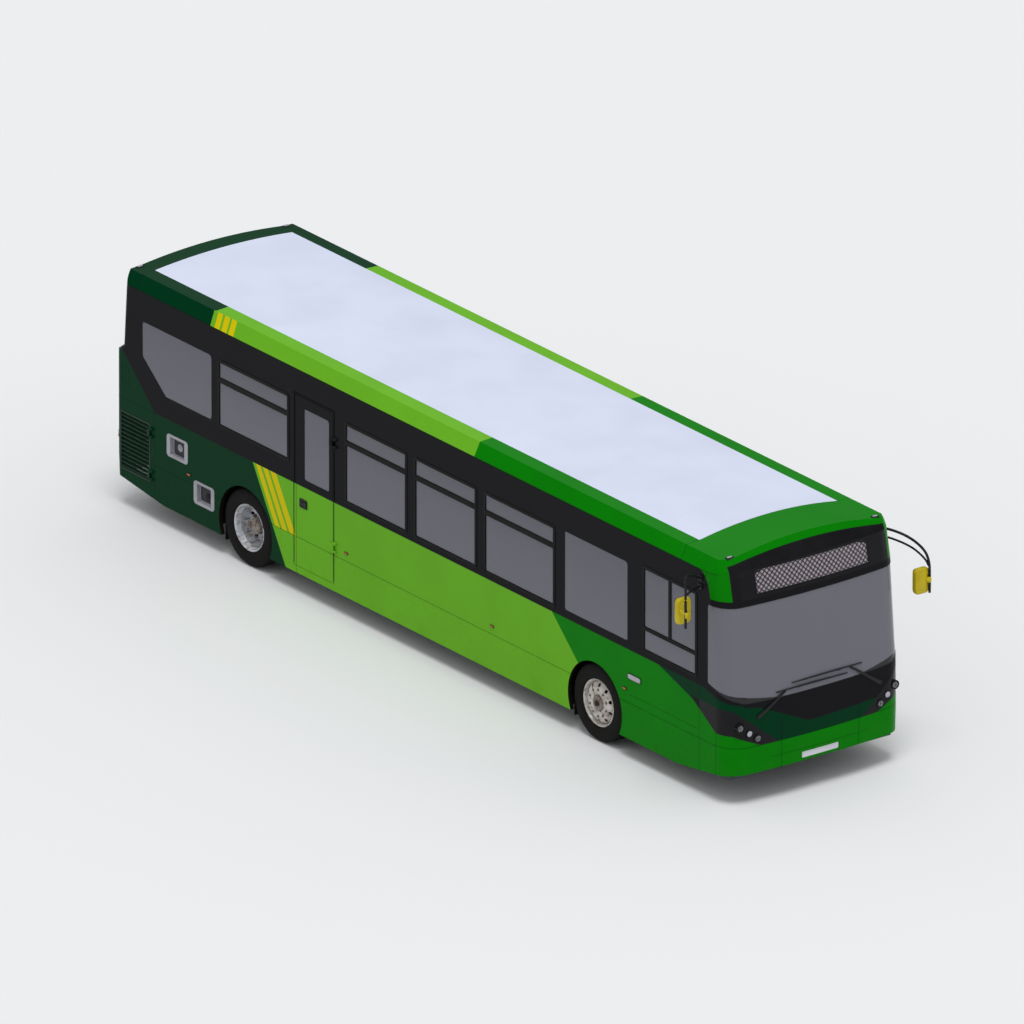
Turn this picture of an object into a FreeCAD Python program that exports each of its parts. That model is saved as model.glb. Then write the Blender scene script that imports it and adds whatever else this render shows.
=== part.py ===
import FreeCAD, Part
import math
import os

V = FreeCAD.Vector
os.makedirs("parts", exist_ok=True)

# Overall sizes in millimetres: +X is forward, +Y the nearside, +Z up, with the ground at zero
front_overhang = 2614.0
wheelbase = 6657.0
rear_overhang = 2529.0
body_width = 2494.0
wall = 50.0
skirt_z = 247.0
waist_z = 1344.0
band_top_z = 2768.0
roof_z = 2995.0
floor_z = 340.0
length = front_overhang + wheelbase + rear_overhang
half_length = length / 2
half_width = body_width / 2
front_axle_x = half_length - front_overhang
rear_axle_x = front_axle_x - wheelbase
inner_y = half_width - wall

# Clearances: a seat between fixed pieces, a running fit on a pin, a gap round a moving leaf
seat = 0.3
fit = 0.05
leaf_gap = 6.0
overrun = 60.0

# Shape of the shell: cantrail, cove and crown of the section, bows and corners of the plan
cantrail_lean = 83.0
cantrail_height = 165.0
cove_width = 180.0
cove_rise = 9.0
dome_rise = 35.0
front_bow_radius = 9500.0
front_corner_radius = 280.0
rear_bow_radius = 22000.0
rear_corner_radius = 90.0
loft_bottom_z = 180.0
loft_margin = 125.0
loft_top_z = roof_z + loft_margin

# Heights where the front and rear faces change their slope, with how far each lies back
ridge_z = 640.0
screen_bottom_z = 1213.0
dome_joint_z = 2460.0
dome_shoulder_z = 2800.0
front_foot_back = 18.0
front_screen_back = 5.0
front_joint_back = 116.0
front_shoulder_back = 190.0
front_top_back = 400.0
bulge_top_z = 1915.0
bulge_step = 75.0
rear_shoulder_z = 2700.0
rear_foot_back = 22.0
rear_bulge_back = 3.0
rear_upper_back = 110.0
rear_shoulder_back = 160.0
rear_top_back = 205.0

# Joints between the panels of the shell
front_joint_x = half_length - 652.0
bumper_joint_x = half_length - 340.0
bumper_top_z = 705.0
roof_front_x = half_length - 997.0
roof_rear_x = -half_length + 441.0
rear_joint_x = -half_length + 773.0
rear_upper_joint_x = -half_length + 340.0
rear_bumper_x = -half_length + 98.0
rear_bumper_top_z = 640.0
rear_joint_z = 2020.0

# Rise of the skirt towards both ends
front_rise_x = half_length - 1085.0
front_rise_mid = 830.0
front_rise_mid_lift = 29.0
front_rise_end = 340.0
front_rise_end_lift = 98.0
front_rise_lift = 133.0
rear_rise_x = -half_length + 950.0
rear_rise_lift = 125.0

# Wheels and their arches
wheel_radius = 468.5
tyre_width = 275.0
tyre_bead_radius = 286.0
twin_spacing = 312.0
wheel_setback = 32.0
arch_radius = 510.0
wheel_y = half_width - wheel_setback - tyre_width / 2
wheel_z = wheel_radius
rim_wall = 14.0
rim_half_width = 121.0
rim_radius = tyre_bead_radius - seat
disc_wall = 16.0
front_dish_depth = 60.0
hub_radius = 105.0
hub_proud = 34.0
stud_circle_radius = 167.0
stud_radius = 13.0

# Steering: kingpin, yoke and axle eye
kingpin_setback = 97.5
kingpin_y = wheel_y - kingpin_setback
kingpin_radius = 20.0
kingpin_eye_radius = 38.0
kingpin_eye_height = 90.0
yoke_lug_height = 26.0
yoke_gap = 6.0
yoke_web = 18.0
spindle_radius = 32.0
axle_beam_length = 100.0
axle_beam_low_z = 130.0
axle_beam_depth = 75.0
axle_neck_depth = 60.0
axle_beam_flat_y = 640.0
rear_axle_radius = 75.0
differential_radius = 190.0
differential_width = 360.0
air_spring_radius = 70.0

# Wheel boxes inside the body
wheel_box_half_length = 615.0
wheel_box_wall = 20.0
wheel_box_inner_y = 590.0
wheel_box_top_z = 1060.0
axle_slot_gap = 45.0

# Floor, rear deck and chassis
floor_thickness = 40.0
rear_floor_z = 760.0
rear_floor_start_x = rear_axle_x + 830.0
engine_deck_z = 1190.0
engine_deck_x = rear_axle_x - 1290.0
floor_end_gap = 130.0
cab_floor_z = 520.0
cab_rear_x = front_axle_x + 720.0
cab_inner_y = -180.0
cab_front_gap = 380.0
rail_y = 400.0
rail_width = 70.0
rail_low_z = 215.0
crossmember_width = 80.0
crossmember_pitch = 900.0
axle_bay = 420.0
rear_rail_rise = 300.0

# Engine, one closed mass at the rear
engine_length = 850.0
engine_height = 700.0
engine_low_z = 400.0
engine_rear_gap = 190.0

# Windows: rows of bays going rearwards, with the pillars ahead of each
cab_pillar_back = 2002.0
window_bottom_z = 1400.0
window_top_z = 2410.0
window_corner = 45.0
window_rail = 38.0
hopper_bar_z = 2125.0
hopper_bar_depth = 60.0
frame_proud = 6.0
frame_depth = 30.0
glass_thickness = 8.0
glass_setback = 6.0
fixed_window_width = 1190.0
fixed_window_bottom_z = 1439.0
short_window_bottom_z = 1567.0
long_window_width = 1355.0
middle_window_width = 1197.0
rear_bay_width = 1375.0
rear_window_width = 1342.0
pillar = 128.0
wide_pillar = 173.0
exit_pillar = 195.0
door_pillar = 85.0
rear_pillar = 116.0
slant_window_bottom_z = 1603.0
slant_window_lift = 370.0
slant_window_run = 451.0
driver_window_rear = 1720.0
driver_window_width = 1029.0
driver_window_top_z = 2470.0
driver_window_bottom_z = 1407.0
driver_window_bar_z = 1682.0
driver_window_bar = 44.0

# Windscreen and destination panel
screen_side_back = 505.0
screen_side_bottom_z = 1411.0
screen_corner_back = 300.0
screen_corner_bottom_z = 1345.0
screen_turn_back = 60.0
screen_turn_bottom_z = 1240.0
screen_top_z = 2392.0
panel_half_width = 1110.0
panel_side_top_z = 2860.0
panel_middle_top_z = 2955.0
panel_back = 560.0
sign_half_width = 800.0
sign_bottom_z = 2500.0
sign_top_z = 2780.0
sign_depth = 45.0
rear_screen_half_width = 850.0
rear_screen_bottom_z = 2070.0
rear_screen_top_z = 2640.0

# Entrance doors: leaves carried by arms on turning posts, with guided noses
entrance_rear_jamb = 1870.0
entrance_width = 1190.0
portal_width = 100.0
leaf_thickness = 35.0
leaf_bottom_z = 372.0
leaf_top_z = 2330.0
leaf_border = 55.0
leaf_flush = 3.0
leaf_end_gap = 15.0
leaf_nose = 10.0
meeting_gap = 10.0
jamb_lap = 20.0
mechanism_depth = 78.0
post_radius = 15.0
door_arm_width = 24.0
door_arm_thickness = 16.0
door_pin_radius = 7.0
door_pin_length = 20.0
door_bracket_height = 25.0
door_bracket_width = 30.0
roller_radius = 12.0
roller_height = 16.0
guide_gap = 5.0
header_depth = 120.0
header_height = 96.0
header_reach = 60.0
sill_gap = 10.0

# Emergency door in the offside wall
exit_width = 764.0
exit_bottom_z = 340.0
exit_top_z = 2469.0
exit_window_bottom_z = 1435.0
exit_window_top_z = 2318.0
exit_window_width = 478.0
exit_window_back = 93.0
exit_handle_length = 152.0
exit_handle_height = 110.0
exit_handle_z = 1140.0
exit_handle_back = 578.0
exit_hinge_inset = 420.0
end_reach = 27.0
hinge_pin_radius = 6.0
hinge_barrel_radius = 11.0
hinge_offset = end_reach - hinge_barrel_radius
hinge_barrel_length = 70.0
hinge_strap_length = 60.0

# Engine cover at the rear and grille door at the offside rear corner
cover_half_width = 880.0
cover_bottom_z = 700.0
cover_top_z = 1880.0
cover_thickness = 40.0
cover_slat_count = 6
cover_slat_height = 26.0
cover_slat_pitch = 62.0
cover_slat_half_width = 520.0
cover_slat_low_z = 820.0
grille_rear_back = 108.0
grille_width = 589.0
grille_bottom_z = 449.0
grille_top_z = 1184.0
grille_border = 28.0
grille_depth = 30.0
grille_slat_count = 13
grille_slat_height = 30.0
grille_slat_thickness = 8.0

# Lamps, fillers and plate
lamp_radius = 52.0
lamp_proud = 10.0
lamp_back = 16.0
outer_lamp_y = 1105.0
outer_lamp_z = 959.0
middle_lamp_y = 986.0
middle_lamp_z = 874.0
inner_lamp_y = 875.0
inner_lamp_z = 794.0
cluster_tip_z = 704.0
cluster_tip_y = 590.0
cluster_low_y = 830.0
cluster_top_y = 770.0
cluster_top_z = 842.0
cluster_turn_low_y = 1170.0
cluster_turn_low_z = 852.0
cluster_turn_top_z = 1165.0
cluster_end_low_z = 1055.0
cluster_end_top_z = 1170.0
tail_lamp_radius = 48.0
tail_lamp_y = 1040.0
tail_lamp_low_z = 780.0
tail_lamp_pitch = 130.0
tail_lamp_count = 4
marker_length = 70.0
marker_height = 30.0
marker_depth = 9.0
marker_z = 777.0
marker_gap = 23.0
front_marker_back = 2050.0
front_marker_z = 833.0
repeater_back = 1992.0
repeater_length = 250.0
repeater_height = 70.0
repeater_z = 990.0
filler_border = 62.0
filler_depth = 45.0
upper_filler_back = 1022.0
upper_filler_width = 402.0
upper_filler_bottom_z = 898.0
upper_filler_height = 281.0
lower_filler_back = 1540.0
lower_filler_width = 393.0
lower_filler_bottom_z = 478.0
lower_filler_height = 286.0
plate_half_width = 265.0
plate_bottom_z = 374.0
plate_top_z = 489.0
plate_depth = 6.0

# Mirrors
mirror_tube_radius = 12.0
mirror_bar_radius = 15.0
mirror_root_lug = 40.0
mirror_reach = 373.0
mirror_outer_y = half_width + mirror_reach
mirror_head_width = 200.0
mirror_head_height = 320.0
mirror_head_depth = 90.0
right_mirror_x = half_length - 420.0
right_mirror_top_z = 2830.0
right_mirror_low_z = 2200.0
right_mirror_root_x = half_length - 630.0
right_mirror_root_z = 2640.0
left_mirror_x = half_length - 85.0
left_mirror_elbow_x = half_length - 170.0
left_mirror_top_z = 2700.0
left_mirror_low_z = 1950.0

# Wipers
wiper_pivot_y = 870.0
wiper_pivot_z = 1055.0
wiper_blade_length = 1010.0
wiper_blade_offset = 110.0
wiper_grip_offset = 421.0
wiper_rise = 80.0
wiper_tube_radius = 7.0
wiper_boss_radius = 22.0

# Interior fittings
seat_pitch = 720.0
seat_rows_right = [0, 1, 2, 3, 4]
seat_rows_left = [0, 1, 2, 3, 4, 5, 6]
seat_width = 860.0
seat_cushion_height = 430.0
seat_cushion_depth = 430.0
seat_cushion_thickness = 90.0
seat_back_height = 640.0
seat_back_thickness = 80.0
seat_back_lean = 70.0
seat_plinth_depth = 220.0
rail_tube_radius = 16.0
high_rail_z = 2150.0
gangway_half = 310.0
rail_post_gaps = 3
driver_seat_x = cab_rear_x + 430.0
driver_y = -640.0
driver_seat_width = 480.0
steering_wheel_radius = 225.0
steering_rim_radius = 14.0
steering_wheel_x = driver_seat_x + 470.0
steering_wheel_z = 1230.0
steering_tilt = 30.0
dash_depth = 420.0
dash_top_z = 1130.0
dash_left_y = 250.0
partition_thickness = 30.0
partition_top_z = 2000.0

# Towing eyes and jacking pads
tow_bore_radius = 16.0
tow_block = 90.0
jack_pad_length = 140.0
jack_pad_thickness = 12.0
jack_front_x = front_axle_x - arch_radius - crossmember_width
jack_rear_x = rear_floor_start_x + crossmember_width
mudflap_thickness = 8.0
mudflap_drop = 330.0


def block(x0, x1, y0, y1, z0, z1):
    return Part.makeBox(x1 - x0, y1 - y0, z1 - z0, V(x0, y0, z0))


def rod(start, end, radius):
    return Part.makeCylinder(radius, (end - start).Length, start, end - start)


def tube_path(points, radius):
    """Round tube through points, with a ball at each bend."""
    runs = [rod(a, b, radius) for a, b in zip(points, points[1:])]
    balls = [Part.makeSphere(radius, p) for p in points[1:-1]]
    return join(runs + balls)


def join(shapes):
    return shapes[0].multiFuse(shapes[1:]) if len(shapes) > 1 else shapes[0]


def group(shapes):
    return Part.makeCompound(shapes)


def prism(points, direction):
    face = Part.Face(Part.makePolygon(points + points[:1]))
    return face.extrude(direction)


def side_prism(points, y0, y1):
    """Outline of (x, z) points, extruded across the bus."""
    return prism([V(x, y0, z) for x, z in points], V(0, y1 - y0, 0))


def front_prism(points, x0, x1):
    """Outline of (y, z) points, extruded along the bus."""
    return prism([V(x0, y, z) for y, z in points], V(x1 - x0, 0, 0))


def softened(shape, direction, radius):
    """Rounds the edges of a block that run along a direction."""
    edges = []
    for edge in shape.Edges:
        along = edge.tangentAt(edge.FirstParameter)
        if abs(abs(along.dot(direction)) - 1) < 1e-6:
            edges.append(edge)
    return shape.makeFillet(radius, edges)


def mirrored(shape):
    return shape.mirror(V(0, 0, 0), V(0, 1, 0))


def both_sides(shape):
    return [shape, mirrored(shape)]


def save(name, shape):
    shape.exportStep("parts/" + name + ".step")


def between(levels, z):
    """Value at height z on a line through (height, value) pairs."""
    for (z0, a), (z1, b) in zip(levels, levels[1:]):
        if z <= z1:
            return a + (b - a) * (z - z0) / (z1 - z0)
    return levels[-1][1]


# Shell

front_levels = [
    (loft_bottom_z, front_foot_back),
    (ridge_z, 0.0),
    (screen_bottom_z, front_screen_back),
    (dome_joint_z, front_joint_back),
    (dome_shoulder_z, front_shoulder_back),
    (loft_top_z, front_top_back),
]
rear_levels = [
    (loft_bottom_z, rear_foot_back),
    (rear_bumper_top_z, 0.0),
    (bulge_top_z, rear_bulge_back),
    (bulge_top_z + bulge_step, rear_upper_back),
    (rear_shoulder_z, rear_shoulder_back),
    (loft_top_z, rear_top_back),
]


def end_arcs(nose, bow, corner, half, sign, z):
    """Corner, bow and corner arcs that close one end of the plan."""
    middle = nose - bow
    reach = bow - corner
    centre_y = half - corner
    centre_x = middle + math.sqrt(reach * reach - centre_y * centre_y)
    turn = math.atan2(centre_y, centre_x - middle)

    def on_corner(angle, side):
        x = centre_x + corner * math.cos(angle)
        return V(sign * x, side * (centre_y + corner * math.sin(angle)), z)

    flank = math.pi / 2
    bisect = (flank + turn) / 2
    left = Part.Arc(on_corner(flank, 1), on_corner(bisect, 1), on_corner(turn, 1))
    face = Part.Arc(on_corner(turn, 1), V(sign * nose, 0, z), on_corner(turn, -1))
    right = Part.Arc(on_corner(turn, -1), on_corner(bisect, -1), on_corner(flank, -1))
    return [left.toShape(), face.toShape(), right.toShape()], sign * centre_x


def plan_wire(z, inset, sign):
    """Closed plan of one half of the body at height z, inset from its skin."""
    half = half_width - inset
    if sign > 0:
        levels, bow, corner = front_levels, front_bow_radius, front_corner_radius
    else:
        levels, bow, corner = rear_levels, rear_bow_radius, rear_corner_radius
    nose = half_length - between(levels, z) - inset
    arcs, tangent_x = end_arcs(nose, bow - inset, corner - inset, half, sign, z)
    left = Part.makeLine(V(0, half, z), V(tangent_x, half, z))
    right = Part.makeLine(V(tangent_x, -half, z), V(0, -half, z))
    middle = Part.makeLine(V(0, -half, z), V(0, half, z))
    return Part.Wire([left] + arcs + [right, middle])


def section_prism(inset, rise):
    """Cross-section of the body with its leaning cantrail, cove and crown."""
    half = half_width - inset
    crease_z = band_top_z + cantrail_height
    low = [V(0, -half, loft_bottom_z), V(0, half, loft_bottom_z)]
    band = V(0, half, band_top_z - inset / 3)
    crease = V(0, half - cantrail_lean, crease_z - inset)
    cove = V(0, half - cantrail_lean - cove_width, crease_z + cove_rise - inset)
    crown = V(0, 0, roof_z + rise - inset)
    over = [V(0, -p.y, p.z) for p in (band, crease, cove)]
    path = [low[0], low[1], band, crease, cove]
    edges = [Part.makeLine(a, b) for a, b in zip(path, path[1:])]
    edges.append(Part.Arc(cove, crown, over[2]).toShape())
    back = [over[2], over[1], over[0], low[0]]
    edges += [Part.makeLine(a, b) for a, b in zip(back, back[1:])]
    face = Part.Face(Part.Wire(edges))
    face.translate(V(-half_length - overrun, 0, 0))
    return face.extrude(V(length + 2 * overrun, 0, 0))


def end_form(inset, sign, rise=0.0):
    """Front (sign 1) or rear (sign -1) half of the body as a solid, inset from its skin."""
    levels = front_levels if sign > 0 else rear_levels
    plan = Part.makeLoft([plan_wire(z, inset, sign) for z, back in levels], True, True)
    return plan.common(section_prism(inset, rise))


def front_form(inset, rise=0.0):
    return end_form(inset, 1, rise)


def rear_form(inset):
    return end_form(inset, -1)


def under_skirt():
    """Everything below the skirt line, which rises towards both ends."""
    low = -overrun
    mid_x = half_length - front_rise_mid
    end_x = half_length - front_rise_end
    points = [
        (-half_length - overrun, low),
        (half_length + overrun, low),
        (half_length + overrun, skirt_z + front_rise_lift),
        (half_length, skirt_z + front_rise_lift),
        (end_x, skirt_z + front_rise_end_lift),
        (mid_x, skirt_z + front_rise_mid_lift),
        (front_rise_x, skirt_z),
        (rear_rise_x, skirt_z),
        (-half_length, skirt_z + rear_rise_lift),
        (-half_length - overrun, skirt_z + rear_rise_lift),
    ]
    return side_prism(points, -half_width - overrun, half_width + overrun)


def arch_cutter(axle_x):
    base = V(axle_x, -half_width - overrun, wheel_z)
    return Part.makeCylinder(arch_radius, body_width + 2 * overrun, base, V(0, 1, 0))


def slice_x(x0, x1, z0, z1):
    reach = half_width + overrun
    return block(x0, x1, -reach, reach, z0, z1)


skirt_cut = under_skirt()
front_outer = front_form(0.0)
rear_outer = rear_form(0.0)
front_shell = front_outer.cut(front_form(wall)).cut(skirt_cut)
rear_shell = rear_outer.cut(rear_form(wall)).cut(skirt_cut)
middle_shell = section_prism(0.0, 0.0).cut(section_prism(wall, 0.0)).cut(skirt_cut)
far_x = half_length + overrun
far_z = loft_top_z + overrun

# Window bays

offside_bays = [
    (0.0, fixed_window_width, "fixed"),
    (wide_pillar, long_window_width, "hopper"),
    (pillar, middle_window_width, "hopper"),
    (pillar, middle_window_width, "hopper"),
    (exit_pillar, exit_width + 2 * leaf_gap, "exit"),
    (door_pillar, rear_bay_width, "short"),
    (rear_pillar, rear_window_width, "slant"),
]
nearside_bays = [
    (0.0, fixed_window_width, "fixed"),
    (wide_pillar, long_window_width, "hopper"),
    (pillar, middle_window_width, "hopper"),
    (pillar, middle_window_width, "hopper"),
    (exit_pillar, exit_width + 2 * leaf_gap, "fixed"),
    (door_pillar, rear_bay_width, "short"),
    (rear_pillar, rear_window_width, "slant"),
]


def bay_spans(bays):
    spans = []
    edge = half_length - cab_pillar_back
    for gap, width, kind in bays:
        front = edge - gap
        spans.append((front - width, front, kind))
        edge = front - width
    return spans


def wall_prism(x0, x1, z0, z1, corner, side, depth_out, depth_in):
    """Rounded block through the side wall, from depth_out proud to depth_in inside."""
    y0 = half_width - depth_in
    y1 = half_width + depth_out
    solid = block(x0, x1, y0, y1, z0, z1)
    if corner > 0:
        solid = softened(solid, V(0, 1, 0), corner)
    return solid if side > 0 else mirrored(solid)


def slant_prism(x0, x1, shrink, side, depth_out, depth_in):
    """Rearmost window with its lower rear corner cut away on a slope."""
    z0 = slant_window_bottom_z + shrink
    z1 = window_top_z - shrink
    points = [
        (x0 + slant_window_run, z0),
        (x1 - shrink, z0),
        (x1 - shrink, z1),
        (x0 + shrink, z1),
        (x0 + shrink, z0 + slant_window_lift),
    ]
    solid = side_prism(points, half_width - depth_in, half_width + depth_out)
    return solid if side > 0 else mirrored(solid)


def sill_height(kind):
    sills = {"fixed": fixed_window_bottom_z, "short": short_window_bottom_z}
    return sills.get(kind, window_bottom_z)


def bay_opening(x0, x1, kind, side):
    cut = wall + overrun
    if kind == "slant":
        return slant_prism(x0, x1, 0.0, side, overrun, cut)
    return wall_prism(x0, x1, sill_height(kind), window_top_z, window_corner, side, overrun, cut)


def bay_frame(x0, x1, kind, side):
    """Aluminium frame with a bar under its sliding light."""
    rim = window_rail
    sill = sill_height(kind)
    ring = wall_prism(
        x0 + seat, x1 - seat, sill + seat, window_top_z - seat,
        window_corner, side, frame_proud, frame_depth)
    low = wall_prism(
        x0 + rim, x1 - rim, sill + rim, hopper_bar_z,
        0.0, side, overrun, wall + overrun)
    high = wall_prism(
        x0 + rim, x1 - rim, hopper_bar_z + hopper_bar_depth, window_top_z - rim,
        0.0, side, overrun, wall + overrun)
    return ring.cut(low).cut(high)


def pane(x0, x1, z0, z1, corner, side):
    return wall_prism(
        x0 + seat, x1 - seat, z0 + seat, z1 - seat, corner, side,
        -glass_setback, glass_setback + glass_thickness)


def bay_panes(x0, x1, kind, side):
    rim = window_rail
    if kind == "slant":
        return [slant_prism(x0, x1, seat, side, -glass_setback, glass_setback + glass_thickness)]
    if kind == "fixed":
        return [pane(x0, x1, fixed_window_bottom_z, window_top_z, window_corner - seat, side)]
    low = pane(x0 + rim, x1 - rim, sill_height(kind) + rim, hopper_bar_z, 0.0, side)
    bar_top = hopper_bar_z + hopper_bar_depth
    high = pane(x0 + rim, x1 - rim, bar_top, window_top_z - rim, 0.0, side)
    return [low, high]


driver_window_x = half_length - driver_window_rear
driver_window_end_x = driver_window_x + driver_window_width


def driver_window_opening():
    return wall_prism(
        driver_window_x, driver_window_end_x, driver_window_bottom_z, driver_window_top_z,
        window_corner, -1, overrun, wall + overrun)


def driver_window_lights():
    """Low pane and two sliding panes above the bar, as spans."""
    rim = window_rail
    bar_top = driver_window_bar_z + driver_window_bar
    middle = (driver_window_x + driver_window_end_x) / 2
    half_bar = driver_window_bar / 2
    return [
        (driver_window_x + rim, driver_window_end_x - rim,
         driver_window_bottom_z + rim, driver_window_bar_z),
        (driver_window_x + rim, middle - half_bar, bar_top, driver_window_top_z - rim),
        (middle + half_bar, driver_window_end_x - rim, bar_top, driver_window_top_z - rim),
    ]


def driver_window_frame():
    ring = wall_prism(
        driver_window_x + seat, driver_window_end_x - seat,
        driver_window_bottom_z + seat, driver_window_top_z - seat,
        window_corner, -1, frame_proud, frame_depth)
    for x0, x1, z0, z1 in driver_window_lights():
        ring = ring.cut(wall_prism(x0, x1, z0, z1, 0.0, -1, overrun, wall + overrun))
    return ring


# Entrance doors, their posts, arms and guide

jamb_rear_x = half_length - entrance_rear_jamb
jamb_front_x = jamb_rear_x + entrance_width
portal_rear_x = jamb_rear_x - portal_width
post_rear_x = jamb_rear_x - jamb_lap
post_front_x = jamb_front_x + jamb_lap
door_arm = (entrance_width + 2 * jamb_lap - meeting_gap - 2 * leaf_nose) / 4
mechanism_y = half_width - mechanism_depth
leaf_outer = mechanism_depth - leaf_flush
leaf_inner = leaf_outer - leaf_thickness
leaf_tail = door_arm - jamb_lap - leaf_end_gap
entrance_top_z = leaf_top_z + leaf_end_gap
entrance_bottom_z = leaf_bottom_z - sill_gap
upper_arm_z = leaf_top_z + leaf_gap
lower_arm_z = leaf_bottom_z - leaf_gap - door_arm_thickness
header_z = upper_arm_z + door_arm_thickness + leaf_gap


def placed_door(shape, post_x, sign):
    """Moves a piece drawn at the rear post to its post, turned about for the front one."""
    if sign < 0:
        shape = shape.mirror(V(0, 0, 0), V(1, 0, 0))
    return shape.translated(V(post_x, mechanism_y, 0))


def door_arm_solid():
    post = rod(V(0, 0, floor_z + seat), V(0, 0, header_z - seat), post_radius)
    pieces = [post]
    for z in (upper_arm_z, lower_arm_z):
        pieces.append(block(0, door_arm, -door_arm_width / 2, door_arm_width / 2,
                            z, z + door_arm_thickness))
        pieces.append(rod(V(door_arm, 0, z), V(door_arm, 0, z + door_arm_thickness),
                          door_arm_width / 2))
    top = upper_arm_z + door_arm_thickness / 2
    pieces.append(rod(V(door_arm, 0, leaf_top_z - door_pin_length), V(door_arm, 0, top),
                      door_pin_radius))
    low = lower_arm_z + door_arm_thickness / 2
    pieces.append(rod(V(door_arm, 0, low), V(door_arm, 0, leaf_bottom_z + door_pin_length),
                      door_pin_radius))
    return join(pieces)


def leaf_window_edges():
    x0 = door_arm - leaf_tail + leaf_border
    x1 = 2 * door_arm + leaf_nose - leaf_border
    return x0, x1, leaf_bottom_z + 2 * leaf_border, leaf_top_z - leaf_border


def door_leaf_solid():
    """Framed leaf with its lower and upper pin brackets and its guided nose."""
    x0 = door_arm - leaf_tail
    x1 = 2 * door_arm + leaf_nose
    leaf = block(x0, x1, leaf_inner, leaf_outer, leaf_bottom_z, leaf_top_z)
    wx0, wx1, wz0, wz1 = leaf_window_edges()
    hole = block(wx0, wx1, leaf_inner - overrun, leaf_outer + overrun, wz0, wz1)
    pieces = [leaf.cut(softened(hole, V(0, 1, 0), window_corner))]
    half = door_bracket_width / 2
    bore = rod(V(door_arm, 0, floor_z), V(door_arm, 0, upper_arm_z), door_pin_radius + fit)
    top_z = leaf_top_z - door_bracket_height
    for x, z in ((door_arm, leaf_bottom_z), (door_arm, top_z), (2 * door_arm, top_z)):
        bracket = block(x - half, x + half, -half, leaf_inner, z, z + door_bracket_height)
        pieces.append(bracket.cut(bore))
    roller_z = header_z + guide_gap
    pin = rod(V(2 * door_arm, 0, leaf_top_z), V(2 * door_arm, 0, roller_z), door_pin_radius)
    roller = rod(V(2 * door_arm, 0, roller_z), V(2 * door_arm, 0, roller_z + roller_height),
                 roller_radius)
    return group(pieces + [join([pin, roller])])


def door_glass_solid():
    x0, x1, z0, z1 = leaf_window_edges()
    y0 = leaf_outer - glass_setback - glass_thickness
    glass = block(x0 + seat, x1 - seat, y0, y0 + glass_thickness, z0 + seat, z1 - seat)
    return softened(glass, V(0, 1, 0), window_corner - seat)


def door_header():
    """Top plate, two guide rails and two end blocks that bound the rollers' channel."""
    x0 = post_rear_x - header_reach
    x1 = post_front_x + header_reach
    y0 = inner_y - header_depth
    y1 = inner_y
    end0 = post_rear_x + header_reach
    end1 = post_front_x - header_reach
    half = roller_radius + guide_gap
    slot_z = header_z + 2 * guide_gap + roller_height
    plate = block(x0, x1, y0, y1, slot_z, header_z + header_height)
    inner_rail = block(end0, end1, y0, mechanism_y - half, header_z, slot_z)
    outer_rail = block(end0, end1, mechanism_y + half, y1, header_z, slot_z)
    rear_end = block(x0, end0, y0, y1, header_z, slot_z)
    front_end = block(end1, x1, y0, y1, header_z, slot_z)
    return group([plate, inner_rail, outer_rail, rear_end, front_end])


# Emergency door

exit_bay = bay_spans(offside_bays)[4]
exit_front_x = exit_bay[1] - leaf_gap
exit_rear_x = exit_front_x - exit_width
exit_hinge_x = exit_front_x
exit_hinge_y = -half_width - hinge_offset
exit_hinge_heights = [exit_bottom_z + exit_hinge_inset, exit_top_z - exit_hinge_inset]


def exit_opening():
    return block(exit_rear_x - leaf_gap, exit_front_x + leaf_gap, -half_width - overrun,
                 -inner_y + overrun, exit_bottom_z - leaf_gap, exit_top_z + leaf_gap)


def exit_window_span():
    front = exit_front_x - exit_window_back
    return front - exit_window_width, front, exit_window_bottom_z, exit_window_top_z


def emergency_door():
    leaf = block(exit_rear_x, exit_front_x, -half_width, -inner_y, exit_bottom_z, exit_top_z)
    x0, x1, z0, z1 = exit_window_span()
    leaf = leaf.cut(wall_prism(x0, x1, z0, z1, window_corner, -1, overrun, wall + overrun))
    pieces = [leaf]
    handle_x = exit_front_x - exit_handle_back
    pieces.append(block(handle_x - exit_handle_length / 2, handle_x + exit_handle_length / 2,
                        -half_width - frame_proud, -half_width,
                        exit_handle_z - exit_handle_height / 2,
                        exit_handle_z + exit_handle_height / 2))
    for z in exit_hinge_heights:
        pieces.append(rod(V(exit_hinge_x, exit_hinge_y, z),
                          V(exit_hinge_x, exit_hinge_y, z + hinge_barrel_length),
                          hinge_barrel_radius))
        pieces.append(block(exit_hinge_x - hinge_strap_length, exit_hinge_x,
                            exit_hinge_y - hinge_barrel_radius, -half_width,
                            z, z + hinge_barrel_length))
    bore = rod(V(exit_hinge_x, exit_hinge_y, 0), V(exit_hinge_x, exit_hinge_y, far_z),
               hinge_pin_radius + fit)
    return join(pieces).cut(bore)


def exit_hinge_pins():
    """Pins that stand on lugs ahead of the door, each through one barrel."""
    pins = []
    lug = hinge_barrel_length / 3
    for z in exit_hinge_heights:
        top = z + hinge_barrel_length
        pieces = [rod(V(exit_hinge_x, exit_hinge_y, z - seat - lug),
                      V(exit_hinge_x, exit_hinge_y, top + seat + lug), hinge_pin_radius)]
        for low in (z - seat - lug, top + seat):
            pieces.append(rod(V(exit_hinge_x, exit_hinge_y, low),
                              V(exit_hinge_x, exit_hinge_y, low + lug), hinge_barrel_radius))
            pieces.append(block(exit_hinge_x, exit_hinge_x + hinge_strap_length,
                                exit_hinge_y - hinge_barrel_radius, -half_width, low, low + lug))
        pins.append(join(pieces))
    return pins


# Engine cover and grille door

cover_hinge_x = -half_length - hinge_offset
cover_hinge_z = cover_top_z
cover_hinge_places = [-cover_half_width / 2, cover_half_width / 2]


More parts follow.
